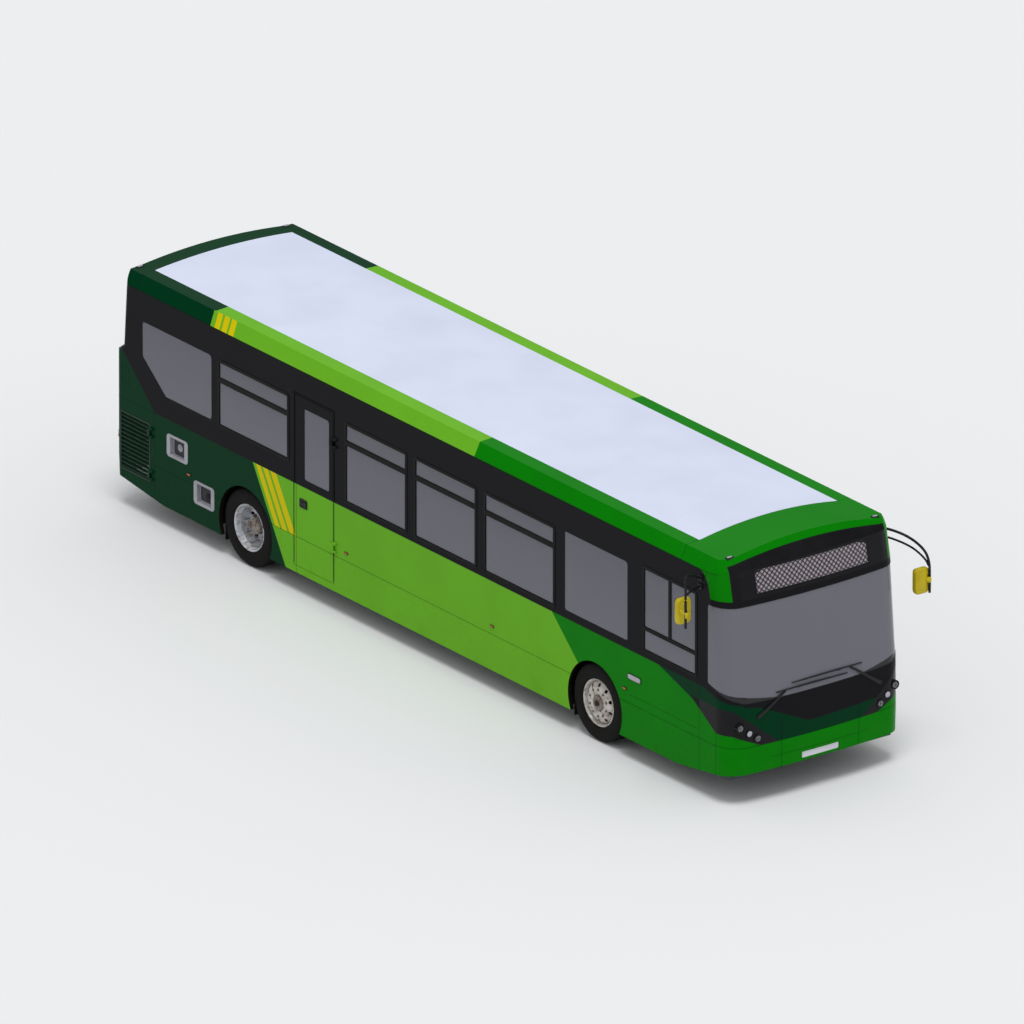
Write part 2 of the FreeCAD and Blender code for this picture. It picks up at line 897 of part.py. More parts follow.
def rear_block(half, z0, z1):
    return block(-half_length - overrun, -half_length + rear_corner_radius, -half, half, z0, z1)


def cover_opening():
    half = cover_half_width + leaf_gap
    return rear_block(half, cover_bottom_z - leaf_gap, cover_top_z + leaf_gap)


def engine_cover():
    skin = rear_outer.cut(rear_form(cover_thickness))
    cover = skin.common(rear_block(cover_half_width, cover_bottom_z, cover_top_z))
    for i in range(cover_slat_count):
        z = cover_slat_low_z + i * cover_slat_pitch
        cover = cover.cut(rear_block(cover_slat_half_width, z, z + cover_slat_height))
    pieces = [cover]
    for y in cover_hinge_places:
        pieces.append(rod(V(cover_hinge_x, y, cover_hinge_z),
                          V(cover_hinge_x, y + hinge_barrel_length, cover_hinge_z),
                          hinge_barrel_radius))
        pieces.append(block(cover_hinge_x - hinge_barrel_radius, -half_length + cover_thickness / 2,
                            y, y + hinge_barrel_length,
                            cover_hinge_z - hinge_strap_length, cover_hinge_z))
    bore = rod(V(cover_hinge_x, -half_width, cover_hinge_z),
               V(cover_hinge_x, half_width, cover_hinge_z), hinge_pin_radius + fit)
    return join(pieces).cut(bore)


def cover_hinge_pins():
    pins = []
    lug = hinge_barrel_length / 3
    rear_y = hinge_strap_length
    for y in cover_hinge_places:
        top = y + hinge_barrel_length
        pieces = [rod(V(cover_hinge_x, y - seat - lug, cover_hinge_z),
                      V(cover_hinge_x, top + seat + lug, cover_hinge_z), hinge_pin_radius)]
        for low in (y - seat - lug, top + seat):
            pieces.append(rod(V(cover_hinge_x, low, cover_hinge_z),
                              V(cover_hinge_x, low + lug, cover_hinge_z), hinge_barrel_radius))
            arm = block(cover_hinge_x - hinge_barrel_radius, -half_length + wall, low, low + lug,
                        cover_hinge_z, cover_hinge_z + rear_y)
            pieces.append(arm.cut(rear_outer))
        pins.append(join(pieces))
    return pins


grille_rear_x = -half_length + grille_rear_back
grille_front_x = grille_rear_x + grille_width
grille_hinge_x = grille_front_x
grille_hinge_y = -half_width - hinge_offset
grille_hinge_heights = [grille_bottom_z + hinge_barrel_length, grille_top_z - 2 * hinge_barrel_length]


def grille_opening():
    return block(grille_rear_x - leaf_gap, grille_front_x + leaf_gap, -half_width - overrun,
                 -inner_y + overrun, grille_bottom_z - leaf_gap, grille_top_z + leaf_gap)


def grille_door():
    y0 = -half_width
    y1 = -half_width + grille_depth
    frame = block(grille_rear_x, grille_front_x, y0, y1, grille_bottom_z, grille_top_z)
    frame = frame.cut(block(grille_rear_x + grille_border, grille_front_x - grille_border,
                            y0 - overrun, y1 + overrun,
                            grille_bottom_z + grille_border, grille_top_z - grille_border))
    pieces = [frame]
    span = grille_top_z - grille_bottom_z - 2 * grille_border
    pitch = span / grille_slat_count
    for i in range(grille_slat_count):
        z = grille_bottom_z + grille_border + (i + 0.5) * pitch
        rise = grille_slat_height / 2
        outline = [V(grille_rear_x + grille_border / 2, y0, z - rise),
                   V(grille_rear_x + grille_border / 2, y0, z - rise + grille_slat_thickness),
                   V(grille_rear_x + grille_border / 2, y1, z + rise),
                   V(grille_rear_x + grille_border / 2, y1, z + rise - grille_slat_thickness)]
        pieces.append(prism(outline, V(grille_width - grille_border, 0, 0)))
    for z in grille_hinge_heights:
        pieces.append(rod(V(grille_hinge_x, grille_hinge_y, z),
                          V(grille_hinge_x, grille_hinge_y, z + hinge_barrel_length),
                          hinge_barrel_radius))
        pieces.append(block(grille_hinge_x - grille_border, grille_hinge_x,
                            grille_hinge_y - hinge_barrel_radius, -half_width,
                            z, z + hinge_barrel_length))
    bore = rod(V(grille_hinge_x, grille_hinge_y, 0), V(grille_hinge_x, grille_hinge_y, far_z),
               hinge_pin_radius + fit)
    return join(pieces).cut(bore)


def grille_hinge_pins():
    pins = []
    lug = hinge_barrel_length / 3
    for z in grille_hinge_heights:
        top = z + hinge_barrel_length
        pieces = [rod(V(grille_hinge_x, grille_hinge_y, z - seat - lug),
                      V(grille_hinge_x, grille_hinge_y, top + seat + lug), hinge_pin_radius)]
        for low in (z - seat - lug, top + seat):
            pieces.append(rod(V(grille_hinge_x, grille_hinge_y, low),
                              V(grille_hinge_x, grille_hinge_y, low + lug), hinge_barrel_radius))
            pieces.append(block(grille_hinge_x, grille_hinge_x + hinge_strap_length,
                                grille_hinge_y - hinge_barrel_radius, -half_width,
                                low, low + lug))
        pins.append(join(pieces))
    return pins


# Fillers, lamps and plate

upper_filler_x = -half_length + upper_filler_back
lower_filler_x = -half_length + lower_filler_back
filler_spans = [
    (upper_filler_x, upper_filler_x + upper_filler_width,
     upper_filler_bottom_z, upper_filler_bottom_z + upper_filler_height),
    (lower_filler_x, lower_filler_x + lower_filler_width,
     lower_filler_bottom_z, lower_filler_bottom_z + lower_filler_height),
]


def filler_opening(span):
    x0, x1, z0, z1 = span
    return wall_prism(x0, x1, z0, z1, window_corner, -1, overrun, wall + overrun)


def filler_tray(span):
    """Frame round a recess that is closed at the back."""
    x0, x1, z0, z1 = span
    tray = wall_prism(x0 + seat, x1 - seat, z0 + seat, z1 - seat, window_corner, -1,
                      frame_proud, wall)
    recess = wall_prism(x0 + filler_border, x1 - filler_border, z0 + filler_border / 2,
                        z1 - filler_border / 2, 0.0, -1, overrun, filler_depth)
    return tray.cut(recess)


def cluster_form():
    """Wedge of the nearside lamp cluster, which wraps round the corner."""
    joint = bumper_joint_x
    front = [
        (cluster_tip_y, cluster_tip_z),
        (cluster_low_y, cluster_tip_z),
        (cluster_turn_low_y, cluster_turn_low_z),
        (half_width + overrun, cluster_turn_low_z),
        (half_width + overrun, cluster_turn_top_z),
        (cluster_turn_low_y, cluster_turn_top_z),
        (cluster_top_y, cluster_top_z),
    ]
    side = [
        (front_joint_x + seat, cluster_end_low_z),
        (joint, cluster_turn_low_z),
        (joint, cluster_turn_top_z),
        (front_joint_x + seat, cluster_end_top_z),
    ]
    return front_prism(front, joint, far_x).fuse(
        side_prism(side, half_width / 2, half_width + overrun))


def lamp_places():
    return [(outer_lamp_y, outer_lamp_z), (middle_lamp_y, middle_lamp_z),
            (inner_lamp_y, inner_lamp_z)]


def headlamp():
    form = cluster_form()
    housing = front_shell.common(form)
    pieces = [housing]
    for y, z in lamp_places():
        face_x = half_length - y * y / (2 * front_bow_radius) - lamp_back
        pieces.append(rod(V(face_x - wall, y, z), V(face_x + lamp_proud, y, z), lamp_radius))
    return join(pieces)


def tail_lamp_barrels(radius):
    barrels = []
    for i in range(tail_lamp_count):
        z = tail_lamp_low_z + i * tail_lamp_pitch
        barrels.append(rod(V(-half_length - overrun, tail_lamp_y, z),
                           V(-half_length + rear_corner_radius, tail_lamp_y, z), radius))
    return barrels


def tail_lamps():
    skin = rear_form(-lamp_proud).cut(rear_form(wall))
    lamps = [skin.common(barrel) for barrel in tail_lamp_barrels(tail_lamp_radius - seat)]
    return lamps + [mirrored(lamp) for lamp in lamps]


def side_lamp(x, z, length, height):
    """Lamp on the nearside wall, from x forwards, with soft corners."""
    lamp = block(x, x + length, half_width, half_width + marker_depth, z, z + height)
    return softened(lamp, V(0, 1, 0), height / 3)


def marker_lamps():
    """Amber side markers on both sides and the offside's long repeater."""
    bays = bay_spans(offside_bays)
    rear_x = upper_filler_x + upper_filler_width + marker_gap - marker_length / 2
    places = [(rear_x, marker_z), (bays[3][0], marker_z), (bays[1][0] + pillar, marker_z),
              (half_length - front_marker_back - marker_length / 2, front_marker_z)]
    lamps = []
    for x, z in places:
        lamps += both_sides(side_lamp(x, z, marker_length, marker_height))
    repeater_x = half_length - repeater_back
    lamps.append(mirrored(side_lamp(repeater_x, repeater_z, repeater_length, repeater_height)))
    return lamps


def plate_recess(grow):
    depth = plate_depth + grow
    face_x = half_length - front_foot_back
    return block(face_x - depth, far_x, -plate_half_width - grow, plate_half_width + grow,
                 plate_bottom_z - grow, plate_top_z + grow)


# Panels of the shell

def side_region(side):
    """Straight stretch of one side, with its longer upper part."""
    y0 = min(0, side * (half_width + overrun))
    y1 = y0 + half_width + overrun
    low = block(rear_joint_x, front_joint_x, y0, y1, 0, waist_z)
    high = block(rear_upper_joint_x, front_joint_x, y0, y1, waist_z, band_top_z)
    return low.fuse(high)


def side_wall(side, bays):
    wall_solid = middle_shell.common(side_region(side))
    wall_solid = wall_solid.cut(arch_cutter(front_axle_x)).cut(arch_cutter(rear_axle_x))
    for x0, x1, kind in bay_spans(bays):
        if kind != "exit":
            wall_solid = wall_solid.cut(bay_opening(x0, x1, kind, side))
    return wall_solid


def side_right():
    panel = side_wall(-1, offside_bays).cut(exit_opening()).cut(driver_window_opening())
    for span in filler_spans:
        panel = panel.cut(filler_opening(span))
    return panel


def side_left():
    """Nearside wall, and the head, posts and sill of the doorway as pieces of their own."""
    panel = side_wall(1, nearside_bays)

    def portion(x0, x1, z0, z1):
        return panel.common(block(x0, x1, 0, half_width + overrun, z0, z1))

    behind = portion(-far_x, portal_rear_x, 0, far_z)
    head = portion(portal_rear_x, far_x, entrance_top_z, far_z)
    rear_post = portion(portal_rear_x, jamb_rear_x, 0, entrance_top_z)
    front_post = portion(jamb_front_x, far_x, 0, entrance_top_z)
    sill = portion(jamb_rear_x, jamb_front_x, 0, entrance_bottom_z)
    return group([behind, head, rear_post, front_post, sill])


def screen_prism(shrink):
    side_x = half_length - screen_side_back + shrink
    points = [
        (side_x, screen_side_bottom_z + shrink),
        (half_length - screen_corner_back, screen_corner_bottom_z + shrink),
        (half_length - screen_turn_back, screen_turn_bottom_z + shrink),
        (half_length + overrun, screen_bottom_z + shrink),
        (half_length + overrun, screen_top_z - shrink),
        (side_x, screen_top_z - shrink),
    ]
    return side_prism(points, -half_width - overrun, half_width + overrun)


def panel_prism(shrink):
    half = panel_half_width - shrink
    low = dome_joint_z + shrink
    side_top = panel_side_top_z - shrink
    x0 = half_length - panel_back
    corners = [V(x0, half, side_top), V(x0, half, low), V(x0, -half, low), V(x0, -half, side_top)]
    edges = [Part.makeLine(a, b) for a, b in zip(corners, corners[1:])]
    crown = V(x0, 0, panel_middle_top_z - shrink)
    edges.append(Part.Arc(corners[3], crown, corners[0]).toShape())
    return Part.Face(Part.Wire(edges)).extrude(V(panel_back + overrun, 0, 0))


def sign_block(shrink, depth):
    front = half_length - front_joint_back
    return block(front - wall - depth, far_x, -sign_half_width + shrink, sign_half_width - shrink,
                 sign_bottom_z + shrink, sign_top_z - shrink)


def front_mask():
    region = slice_x(front_joint_x, far_x, 0, dome_joint_z)
    mask = front_shell.common(region).cut(slice_x(bumper_joint_x, far_x, 0, bumper_top_z))
    cluster = cluster_form()
    return mask.cut(screen_prism(0.0)).cut(cluster).cut(mirrored(cluster))


def front_bumper():
    bumper = front_shell.common(slice_x(bumper_joint_x, far_x, 0, bumper_top_z))
    cluster = cluster_form()
    return bumper.cut(plate_recess(0.0)).cut(cluster).cut(mirrored(cluster))


def front_dome():
    raised = front_form(0.0, dome_rise).cut(front_form(wall, dome_rise))
    region = slice_x(roof_front_x, far_x, band_top_z, far_z).fuse(
        slice_x(front_joint_x, far_x, dome_joint_z, band_top_z))
    return raised.common(region).cut(panel_prism(0.0))


def destination_panel():
    raised = front_form(0.0, dome_rise).cut(front_form(wall, dome_rise))
    return raised.common(panel_prism(seat)).cut(sign_block(0.0, wall))


def destination_sign():
    skin = front_form(sign_depth / 2, dome_rise).cut(front_form(wall, dome_rise))
    return skin.common(sign_block(seat, wall))


def windscreen():
    glass = front_form(glass_setback / 2).cut(front_form(glass_setback / 2 + glass_thickness))
    return glass.common(screen_prism(seat))


def roof():
    return middle_shell.common(slice_x(roof_rear_x, roof_front_x, band_top_z, far_z))


def rear_lower():
    region = slice_x(-far_x, rear_joint_x, 0, waist_z).fuse(
        slice_x(-far_x, rear_upper_joint_x, waist_z, rear_joint_z))
    panel = rear_shell.common(region).cut(slice_x(-far_x, rear_bumper_x, 0, rear_bumper_top_z))
    panel = panel.cut(cover_opening()).cut(grille_opening())
    for barrel in tail_lamp_barrels(tail_lamp_radius):
        panel = panel.cut(barrel).cut(mirrored(barrel))
    return panel


def rear_screen_block(shrink):
    half = rear_screen_half_width - shrink
    solid = block(-far_x, -half_length + 3 * rear_corner_radius, -half, half,
                  rear_screen_bottom_z + shrink, rear_screen_top_z - shrink)
    return softened(solid, V(1, 0, 0), window_corner)


def rear_upper():
    region = slice_x(-far_x, rear_upper_joint_x, rear_joint_z, band_top_z).fuse(
        slice_x(-far_x, roof_rear_x, band_top_z, far_z))
    return rear_shell.common(region).cut(rear_screen_block(0.0))


def rear_screen():
    glass = rear_form(glass_setback / 2).cut(rear_form(glass_setback / 2 + glass_thickness))
    return glass.common(rear_screen_block(seat))


def rear_bumper():
    return rear_shell.common(slice_x(-far_x, rear_bumper_x, 0, rear_bumper_top_z))


# Running gear

def turned(points, centre):
    """Solid of revolution about the wheel's axle, from (radius, offset) points."""
    face = Part.Face(Part.makePolygon([V(r, y, 0) for r, y in points + points[:1]]))
    solid = face.revolve(V(0, 0, 0), V(0, 1, 0), 360)
    return solid.translated(centre)


def tyre(centre):
    half = tyre_width / 2
    return turned([(tyre_bead_radius, -half), (wheel_radius, -half),
                   (wheel_radius, half), (tyre_bead_radius, half)], centre)


def front_rim(centre):
    """Nearside front wheel: barrel and domed disc in one profile, with the hub at its middle."""
    half = rim_half_width
    bore = rim_radius - rim_wall
    face_y = half + front_dish_depth / 2 - disc_wall
    disc_radius = stud_circle_radius + 2 * stud_radius
    rim = turned([(bore, -half), (rim_radius, -half), (rim_radius, half),
                  (disc_radius, face_y), (0, face_y), (0, face_y - disc_wall),
                  (disc_radius, face_y - disc_wall), (bore, half - disc_wall)], centre)
    hub = rod(centre + V(0, face_y - disc_wall, 0), centre + V(0, face_y + hub_proud, 0), hub_radius)
    socket = rod(centre - V(0, half, 0), centre + V(0, face_y + hub_proud / 2, 0),
                 spindle_radius + fit)
    return rim.fuse(hub).cut(socket)


def rear_rim(centre):
    """Nearside twin wheel: two barrels back to back, their discs bolted at the middle."""
    half = rim_half_width
    bore = rim_radius - rim_wall
    outer = turned([(hub_radius - rim_wall, -half), (rim_radius, -half), (rim_radius, half),
                    (bore, half), (bore, -half + disc_wall), (hub_radius - rim_wall, -half + disc_wall)],
                   centre)
    inner = turned([(hub_radius - rim_wall, half), (rim_radius, half), (rim_radius, -half),
                    (bore, -half), (bore, half - disc_wall), (hub_radius - rim_wall, half - disc_wall)],
                   centre - V(0, twin_spacing, 0))
    gap = twin_spacing - 2 * half
    spacer = rod(centre - V(0, half + gap, 0), centre - V(0, half, 0), stud_circle_radius)
    hub = rod(centre - V(0, half + gap, 0), centre + V(0, half - hub_proud, 0), hub_radius)
    rim = join([outer, inner, spacer, hub])
    socket = rod(centre - V(0, 2 * twin_spacing, 0), centre + V(0, -half, 0), spindle_radius * 2 + fit)
    return rim.cut(socket)


def knuckle(centre):
    """Nearside steering yoke: two lugs on the kingpin, a web and the wheel's spindle."""
    pin = V(front_axle_x, kingpin_y, wheel_z)
    half = kingpin_eye_height / 2
    lug_low = half + yoke_gap
    height = lug_low + yoke_lug_height
    web_y = kingpin_eye_radius + yoke_gap
    pieces = [rod(pin - V(0, 0, height), pin + V(0, 0, height), kingpin_radius)]
    for low in (lug_low, -height):
        lug = rod(pin + V(0, 0, low), pin + V(0, 0, low + yoke_lug_height), kingpin_eye_radius)
        arm = block(pin.x - kingpin_eye_radius, pin.x + kingpin_eye_radius, pin.y,
                    pin.y + web_y + yoke_web, pin.z + low, pin.z + low + yoke_lug_height)
        pieces += [lug, arm]
    pieces.append(block(pin.x - kingpin_eye_radius, pin.x + kingpin_eye_radius, pin.y + web_y,
                        pin.y + web_y + yoke_web, pin.z - height, pin.z + height))
    face_y = rim_half_width + front_dish_depth / 2 - disc_wall
    end = centre + V(0, face_y + hub_proud / 2 - seat, 0)
    pieces.append(rod(pin + V(0, web_y + yoke_web / 2, 0), end, spindle_radius))
    return join(pieces)


def front_axle():
    """Dropped beam with an upswept end and an eye for each kingpin."""
    low = axle_beam_low_z
    high = low + axle_beam_depth
    end = kingpin_y - kingpin_eye_radius / 2
    neck = kingpin_y - 2 * kingpin_eye_radius
    half = axle_neck_depth / 2
    right_end = [
        (axle_beam_flat_y, low), (neck, wheel_z - half), (end, wheel_z - half),
        (end, wheel_z + half), (neck, wheel_z + half), (axle_beam_flat_y - half, high),
    ]
    left_end = [(-y, z) for y, z in right_end[::-1]]
    x0 = front_axle_x - axle_beam_length / 2
    x1 = front_axle_x + axle_beam_length / 2
    beam = front_prism(right_end + left_end, x0, x1)
    for saddle_y in (-rail_y - rail_width, rail_y):
        beam = beam.fuse(block(x0, x1, saddle_y, saddle_y + rail_width, low, rail_low_z - seat))
    for side in (1, -1):
        pin = V(front_axle_x, side * kingpin_y, wheel_z)
        reach = V(0, 0, kingpin_eye_height / 2)
        beam = beam.fuse(rod(pin - reach, pin + reach, kingpin_eye_radius))
        beam = beam.cut(rod(pin - reach, pin + reach, kingpin_radius + fit))
    return beam


def rear_axle():
    centre = V(rear_axle_x, 0, wheel_z)
    inner_disc_y = wheel_y - twin_spacing - rim_half_width
    casing_y = inner_disc_y - overrun
    stub_y = wheel_y - rim_half_width - seat
    casing = rod(centre - V(0, casing_y, 0), centre + V(0, casing_y, 0), rear_axle_radius)
    bowl = rod(centre - V(0, differential_width / 2, 0), centre + V(0, differential_width / 2, 0),
               differential_radius)
    stub = rod(centre - V(0, stub_y, 0), centre + V(0, stub_y, 0), spindle_radius * 2)
    pieces = [casing, bowl, stub]
    spring_top = rear_floor_z - floor_thickness - rail_width - seat
    for side in (1, -1):
        y = side * (rail_y + rail_width / 2)
        pieces.append(rod(V(rear_axle_x, y, wheel_z), V(rear_axle_x, y, spring_top),
                          air_spring_radius))
    return join(pieces)


# Chassis, floor and boxes over the wheels

under_floor_z = floor_z - floor_thickness
floor_half = inner_y - seat
floor_front_x = half_length - floor_end_gap - wall


def rail_outline():
    front_end = half_length - front_overhang / 4
    rear_end = -half_length + engine_rear_gap
    rear_top = rear_floor_z - floor_thickness
    kick_x = rear_floor_start_x - rear_rail_rise
    return [
        (front_end, rail_low_z), (front_end, under_floor_z),
        (rear_floor_start_x, under_floor_z), (kick_x, rear_top), (rear_end, rear_top),
        (rear_end, rear_top - rail_width), (kick_x - rail_width, rear_top - rail_width),
        (rear_floor_start_x - rail_width, rail_low_z),
    ]


def crossmember_places():
    """Front faces of the low cross-members, none of them under an axle."""
    first = half_length - front_overhang / 2
    last = rear_floor_start_x + crossmember_width
    count = int((first - last) / crossmember_pitch)
    places = [first - i * crossmember_pitch for i in range(count + 1)]
    keep = wheel_box_half_length + 2 * crossmember_width
    clear = [x for x in places if abs(x - front_axle_x) > keep]
    box_end = wheel_box_half_length + wheel_box_wall + seat
    return clear + [front_axle_x + box_end + crossmember_width, front_axle_x - box_end]


def chassis_frame():
    """Two long rails that kick up at the rear, cross-members, towing blocks and pads."""
    rail = side_prism(rail_outline(), rail_y, rail_y + rail_width)
    pieces = both_sides(rail)
    for x in crossmember_places():
        pieces.append(block(x - crossmember_width, x, -floor_half, floor_half,
                            rail_low_z, under_floor_z))
    for x in (front_axle_x + axle_bay / 2 + crossmember_width, front_axle_x - axle_bay / 2):
        pieces.append(block(x - crossmember_width, x, -rail_y - rail_width, rail_y + rail_width,
                            rail_low_z, under_floor_z))
    rear_top = rear_floor_z - floor_thickness
    rear_end = -half_length + engine_rear_gap
    for x in (rear_end + crossmember_width, engine_deck_x, rear_axle_x - arch_radius):
        pieces.append(block(x - crossmember_width, x, -rail_y - rail_width, rail_y + rail_width,
                            rear_top - rail_width, rear_top))
    front_end = half_length - front_overhang / 4
    pieces.append(block(front_end - crossmember_width, front_end, -rail_y - rail_width,
                        rail_y + rail_width, rail_low_z, under_floor_z))
    for side in (1, -1):
        y = side * (rail_y + rail_width / 2)
        for x in (jack_front_x, jack_rear_x):
            pieces.append(block(x - jack_pad_length / 2, x + jack_pad_length / 2,
                                y - rail_width / 2, y + rail_width / 2,
                                rail_low_z - jack_pad_thickness, rail_low_z))
    return join(pieces)


def tow_sockets():
    """Blocks at the four ends of the rails, each with a bore for a towing pin."""
    rear_low_z = rear_floor_z - floor_thickness - rail_width
    ends = [(half_length - front_overhang / 4, rail_low_z),
            (-half_length + engine_rear_gap - tow_block, rear_low_z)]
    sockets = []
    for x, low in ends:
        socket = block(x, x + tow_block, rail_y, rail_y + rail_width, low, low + rail_width)
        middle = V(x - overrun, rail_y + rail_width / 2, low + rail_width / 2)
        bore = rod(middle, middle + V(tow_block + 2 * overrun, 0, 0), tow_bore_radius)
        sockets += both_sides(socket.cut(bore))
    return group(sockets)


def wheel_box_form(axle_x, grow):
    """Round-shouldered box over one nearside wheel, open below and at the side."""
    half = wheel_box_half_length + grow
    top = wheel_box_top_z + grow
    solid = block(axle_x - half, axle_x + half, wheel_box_inner_y - grow,
                  inner_y - seat, -grow, top)
    return solid


def wheel_box(axle_x):
    walls = wheel_box_form(axle_x, wheel_box_wall).cut(wheel_box_form(axle_x, 0.0))
    return walls.cut(block(-far_x, far_x, 0, half_width, -overrun, under_floor_z))


def axle_slot():
    """Way through the inner wall of a rear wheel box for the axle's casing."""
    half = rear_axle_radius + axle_slot_gap
    return block(rear_axle_x - half, rear_axle_x + half, 0, wheel_box_inner_y + overrun,
                 0, wheel_z + half)


def wheel_boxes():
    rear = wheel_box(rear_axle_x).cut(axle_slot())
    return group(both_sides(wheel_box(front_axle_x)) + both_sides(rear))


def floor_plate(x0, x1, z):
    """Floor between two places, cut away round the wheel boxes."""
    plate = block(x0, x1, -floor_half, floor_half, z - floor_thickness, z)
    for axle_x in (front_axle_x, rear_axle_x):
        hole = wheel_box_form(axle_x, wheel_box_wall + seat)
        plate = plate.cut(hole).cut(mirrored(hole))
    return plate


def floor():
    """Low floor, riser, rear deck and the engine's box, joined into one."""
    front_limit = front_form(wall + seat)
    rear_limit = rear_form(wall + seat)
    low = floor_plate(rear_floor_start_x, floor_front_x, floor_z)
    low = low.common(front_limit.fuse(block(-half_length, 0, -floor_half, floor_half, 0, far_z)))
    deck_front = rear_floor_start_x + floor_thickness
    riser = block(rear_floor_start_x, deck_front, -wheel_box_inner_y + overrun,
                  wheel_box_inner_y - overrun, floor_z, rear_floor_z)
    deck = floor_plate(engine_deck_x, deck_front, rear_floor_z)
    deck_rear = -half_length + rear_upper_back + 2 * wall
    engine_riser = block(engine_deck_x - floor_thickness, engine_deck_x, -floor_half, floor_half,
                         rear_floor_z - floor_thickness, engine_deck_z)
    top = block(deck_rear, engine_deck_x, -floor_half, floor_half,
                engine_deck_z - floor_thickness, engine_deck_z)
    top = top.common(rear_limit)
    return join([low, riser, deck, engine_riser, top])


def cab_platform():
    platform = block(cab_rear_x, half_length - cab_front_gap, -floor_half, cab_inner_y,
                     floor_z, cab_floor_z)
    return platform.common(front_form(wall + seat))


def engine_block():
    rear = -half_length + engine_rear_gap
    front = rear + crossmember_width + seat + engine_length
    return block(front - engine_length, front, -rail_y + seat, rail_y - seat,
                 engine_low_z, engine_low_z + engine_height)


def mudflaps():
    flaps = []
    for axle_x in (front_axle_x, rear_axle_x):
        x = axle_x - wheel_box_half_length
        flap = block(x, x + mudflap_thickness, wheel_box_inner_y + overrun, inner_y - 2 * overrun,
                     under_floor_z - mudflap_drop + skirt_z / 2, under_floor_z + overrun)
        flaps += both_sides(flap)
    return group(flaps)


# Mirrors and wipers

def mirror_head(x, y, z):
    head = block(x - mirror_head_depth, x, y - mirror_head_width / 2, y + mirror_head_width / 2,
                 z - mirror_head_height / 2, z + mirror_head_height / 2)
    return softened(head, V(1, 0, 0), mirror_head_width / 4)


def mirror_right():
    r = mirror_tube_radius
    root_y = -half_width - r
    bar_y = -mirror_outer_y
    x = right_mirror_x
    top = right_mirror_top_z
    gap = right_mirror_root_z - dome_joint_z
    root = V(right_mirror_root_x, root_y, right_mirror_root_z)
    elbow = V(right_mirror_root_x + 2 * mirror_root_lug, bar_y + 2 * mirror_root_lug,
              top - mirror_root_lug / 2)
    high = V(x, bar_y, top - mirror_root_lug / 2)
    low_root = root - V(0, 0, gap / 2)
    bar = rod(V(x, bar_y, right_mirror_low_z), V(x, bar_y, top), mirror_bar_radius)
    plate = block(right_mirror_root_x - mirror_root_lug, right_mirror_root_x + mirror_root_lug,
                  -half_width - 2 * r, -half_width, low_root.z - mirror_root_lug, root.z + mirror_root_lug)
    head = mirror_head(x, bar_y + mirror_head_width / 2 - r,
                       right_mirror_low_z + mirror_head_height / 2 - r)
    lower = tube_path([low_root, V(x, bar_y, low_root.z)], r)
    return join([plate, tube_path([root, elbow, high], r), lower, bar, head])


def mirror_left():
    r = mirror_tube_radius
    root = V(right_mirror_root_x, half_width + r, right_mirror_root_z)
    elbow = V(left_mirror_elbow_x, mirror_outer_y - mirror_head_width, left_mirror_top_z)
    bar_top = V(left_mirror_x, mirror_outer_y, left_mirror_top_z - mirror_head_height)
    bar_low = V(left_mirror_x, mirror_outer_y, left_mirror_low_z)
    low_root = root - V(0, 0, 3 * mirror_root_lug)
    plate = block(right_mirror_root_x - mirror_root_lug, right_mirror_root_x + mirror_root_lug,
                  half_width, half_width + 2 * r, low_root.z - mirror_root_lug, root.z + mirror_root_lug)
    head = mirror_head(left_mirror_x, mirror_outer_y - mirror_head_width / 2 + r,
                       left_mirror_low_z + mirror_head_height / 2)
    lower = tube_path([low_root, elbow - V(0, 0, 3 * mirror_root_lug), bar_top], r)
    return join([plate, tube_path([root, elbow, bar_top, bar_low], r), lower, head])


def wipers():
    """Two arms that stand on bosses below the screen, each with its long blade."""
    pieces = []
    for side in (1, -1):
        x = half_length
        boss = rod(V(x - 2 * wall, side * wiper_pivot_y, wiper_pivot_z),
                   V(x + end_reach, side * wiper_pivot_y, wiper_pivot_z), wiper_boss_radius)
        boss = boss.cut(front_form(-seat))
        blade_z = screen_bottom_z + (2 if side > 0 else 1) * wiper_rise
        hub = V(x + wiper_boss_radius / 2, side * wiper_pivot_y, wiper_pivot_z)
        grip = V(x, side * wiper_grip_offset, blade_z)
        middle = side * wiper_blade_offset
        blade = block(x - wiper_tube_radius, x + wiper_tube_radius,
                      middle - wiper_blade_length / 2, middle + wiper_blade_length / 2,
                      blade_z - wiper_tube_radius, blade_z + wiper_tube_radius)
        pieces.append(join([boss, tube_path([hub, grip], wiper_tube_radius), blade]))
    return group(pieces)


# Interior


def seat_pair(x, y0, y1, base_z):
    """Cushion, back and plinth in one outline, facing forward."""
    top = base_z + seat_cushion_height
    back = seat_cushion_depth
    lean = seat_back_lean
    points = [
        (x - seat_plinth_depth, base_z + seat), (x, base_z + seat),
        (x, top - seat_cushion_thickness), (x + back - seat_plinth_depth, top - seat_cushion_thickness),
        (x + back - seat_plinth_depth, top), (x - seat_plinth_depth, top),
        (x - seat_plinth_depth - lean, top + seat_back_height),
        (x - seat_plinth_depth - lean - seat_back_thickness, top + seat_back_height),
        (x - seat_plinth_depth - seat_back_thickness, top - seat_cushion_thickness),
        (x - seat_plinth_depth, top - seat_cushion_thickness),
    ]
    return side_prism(points, y0, y1)


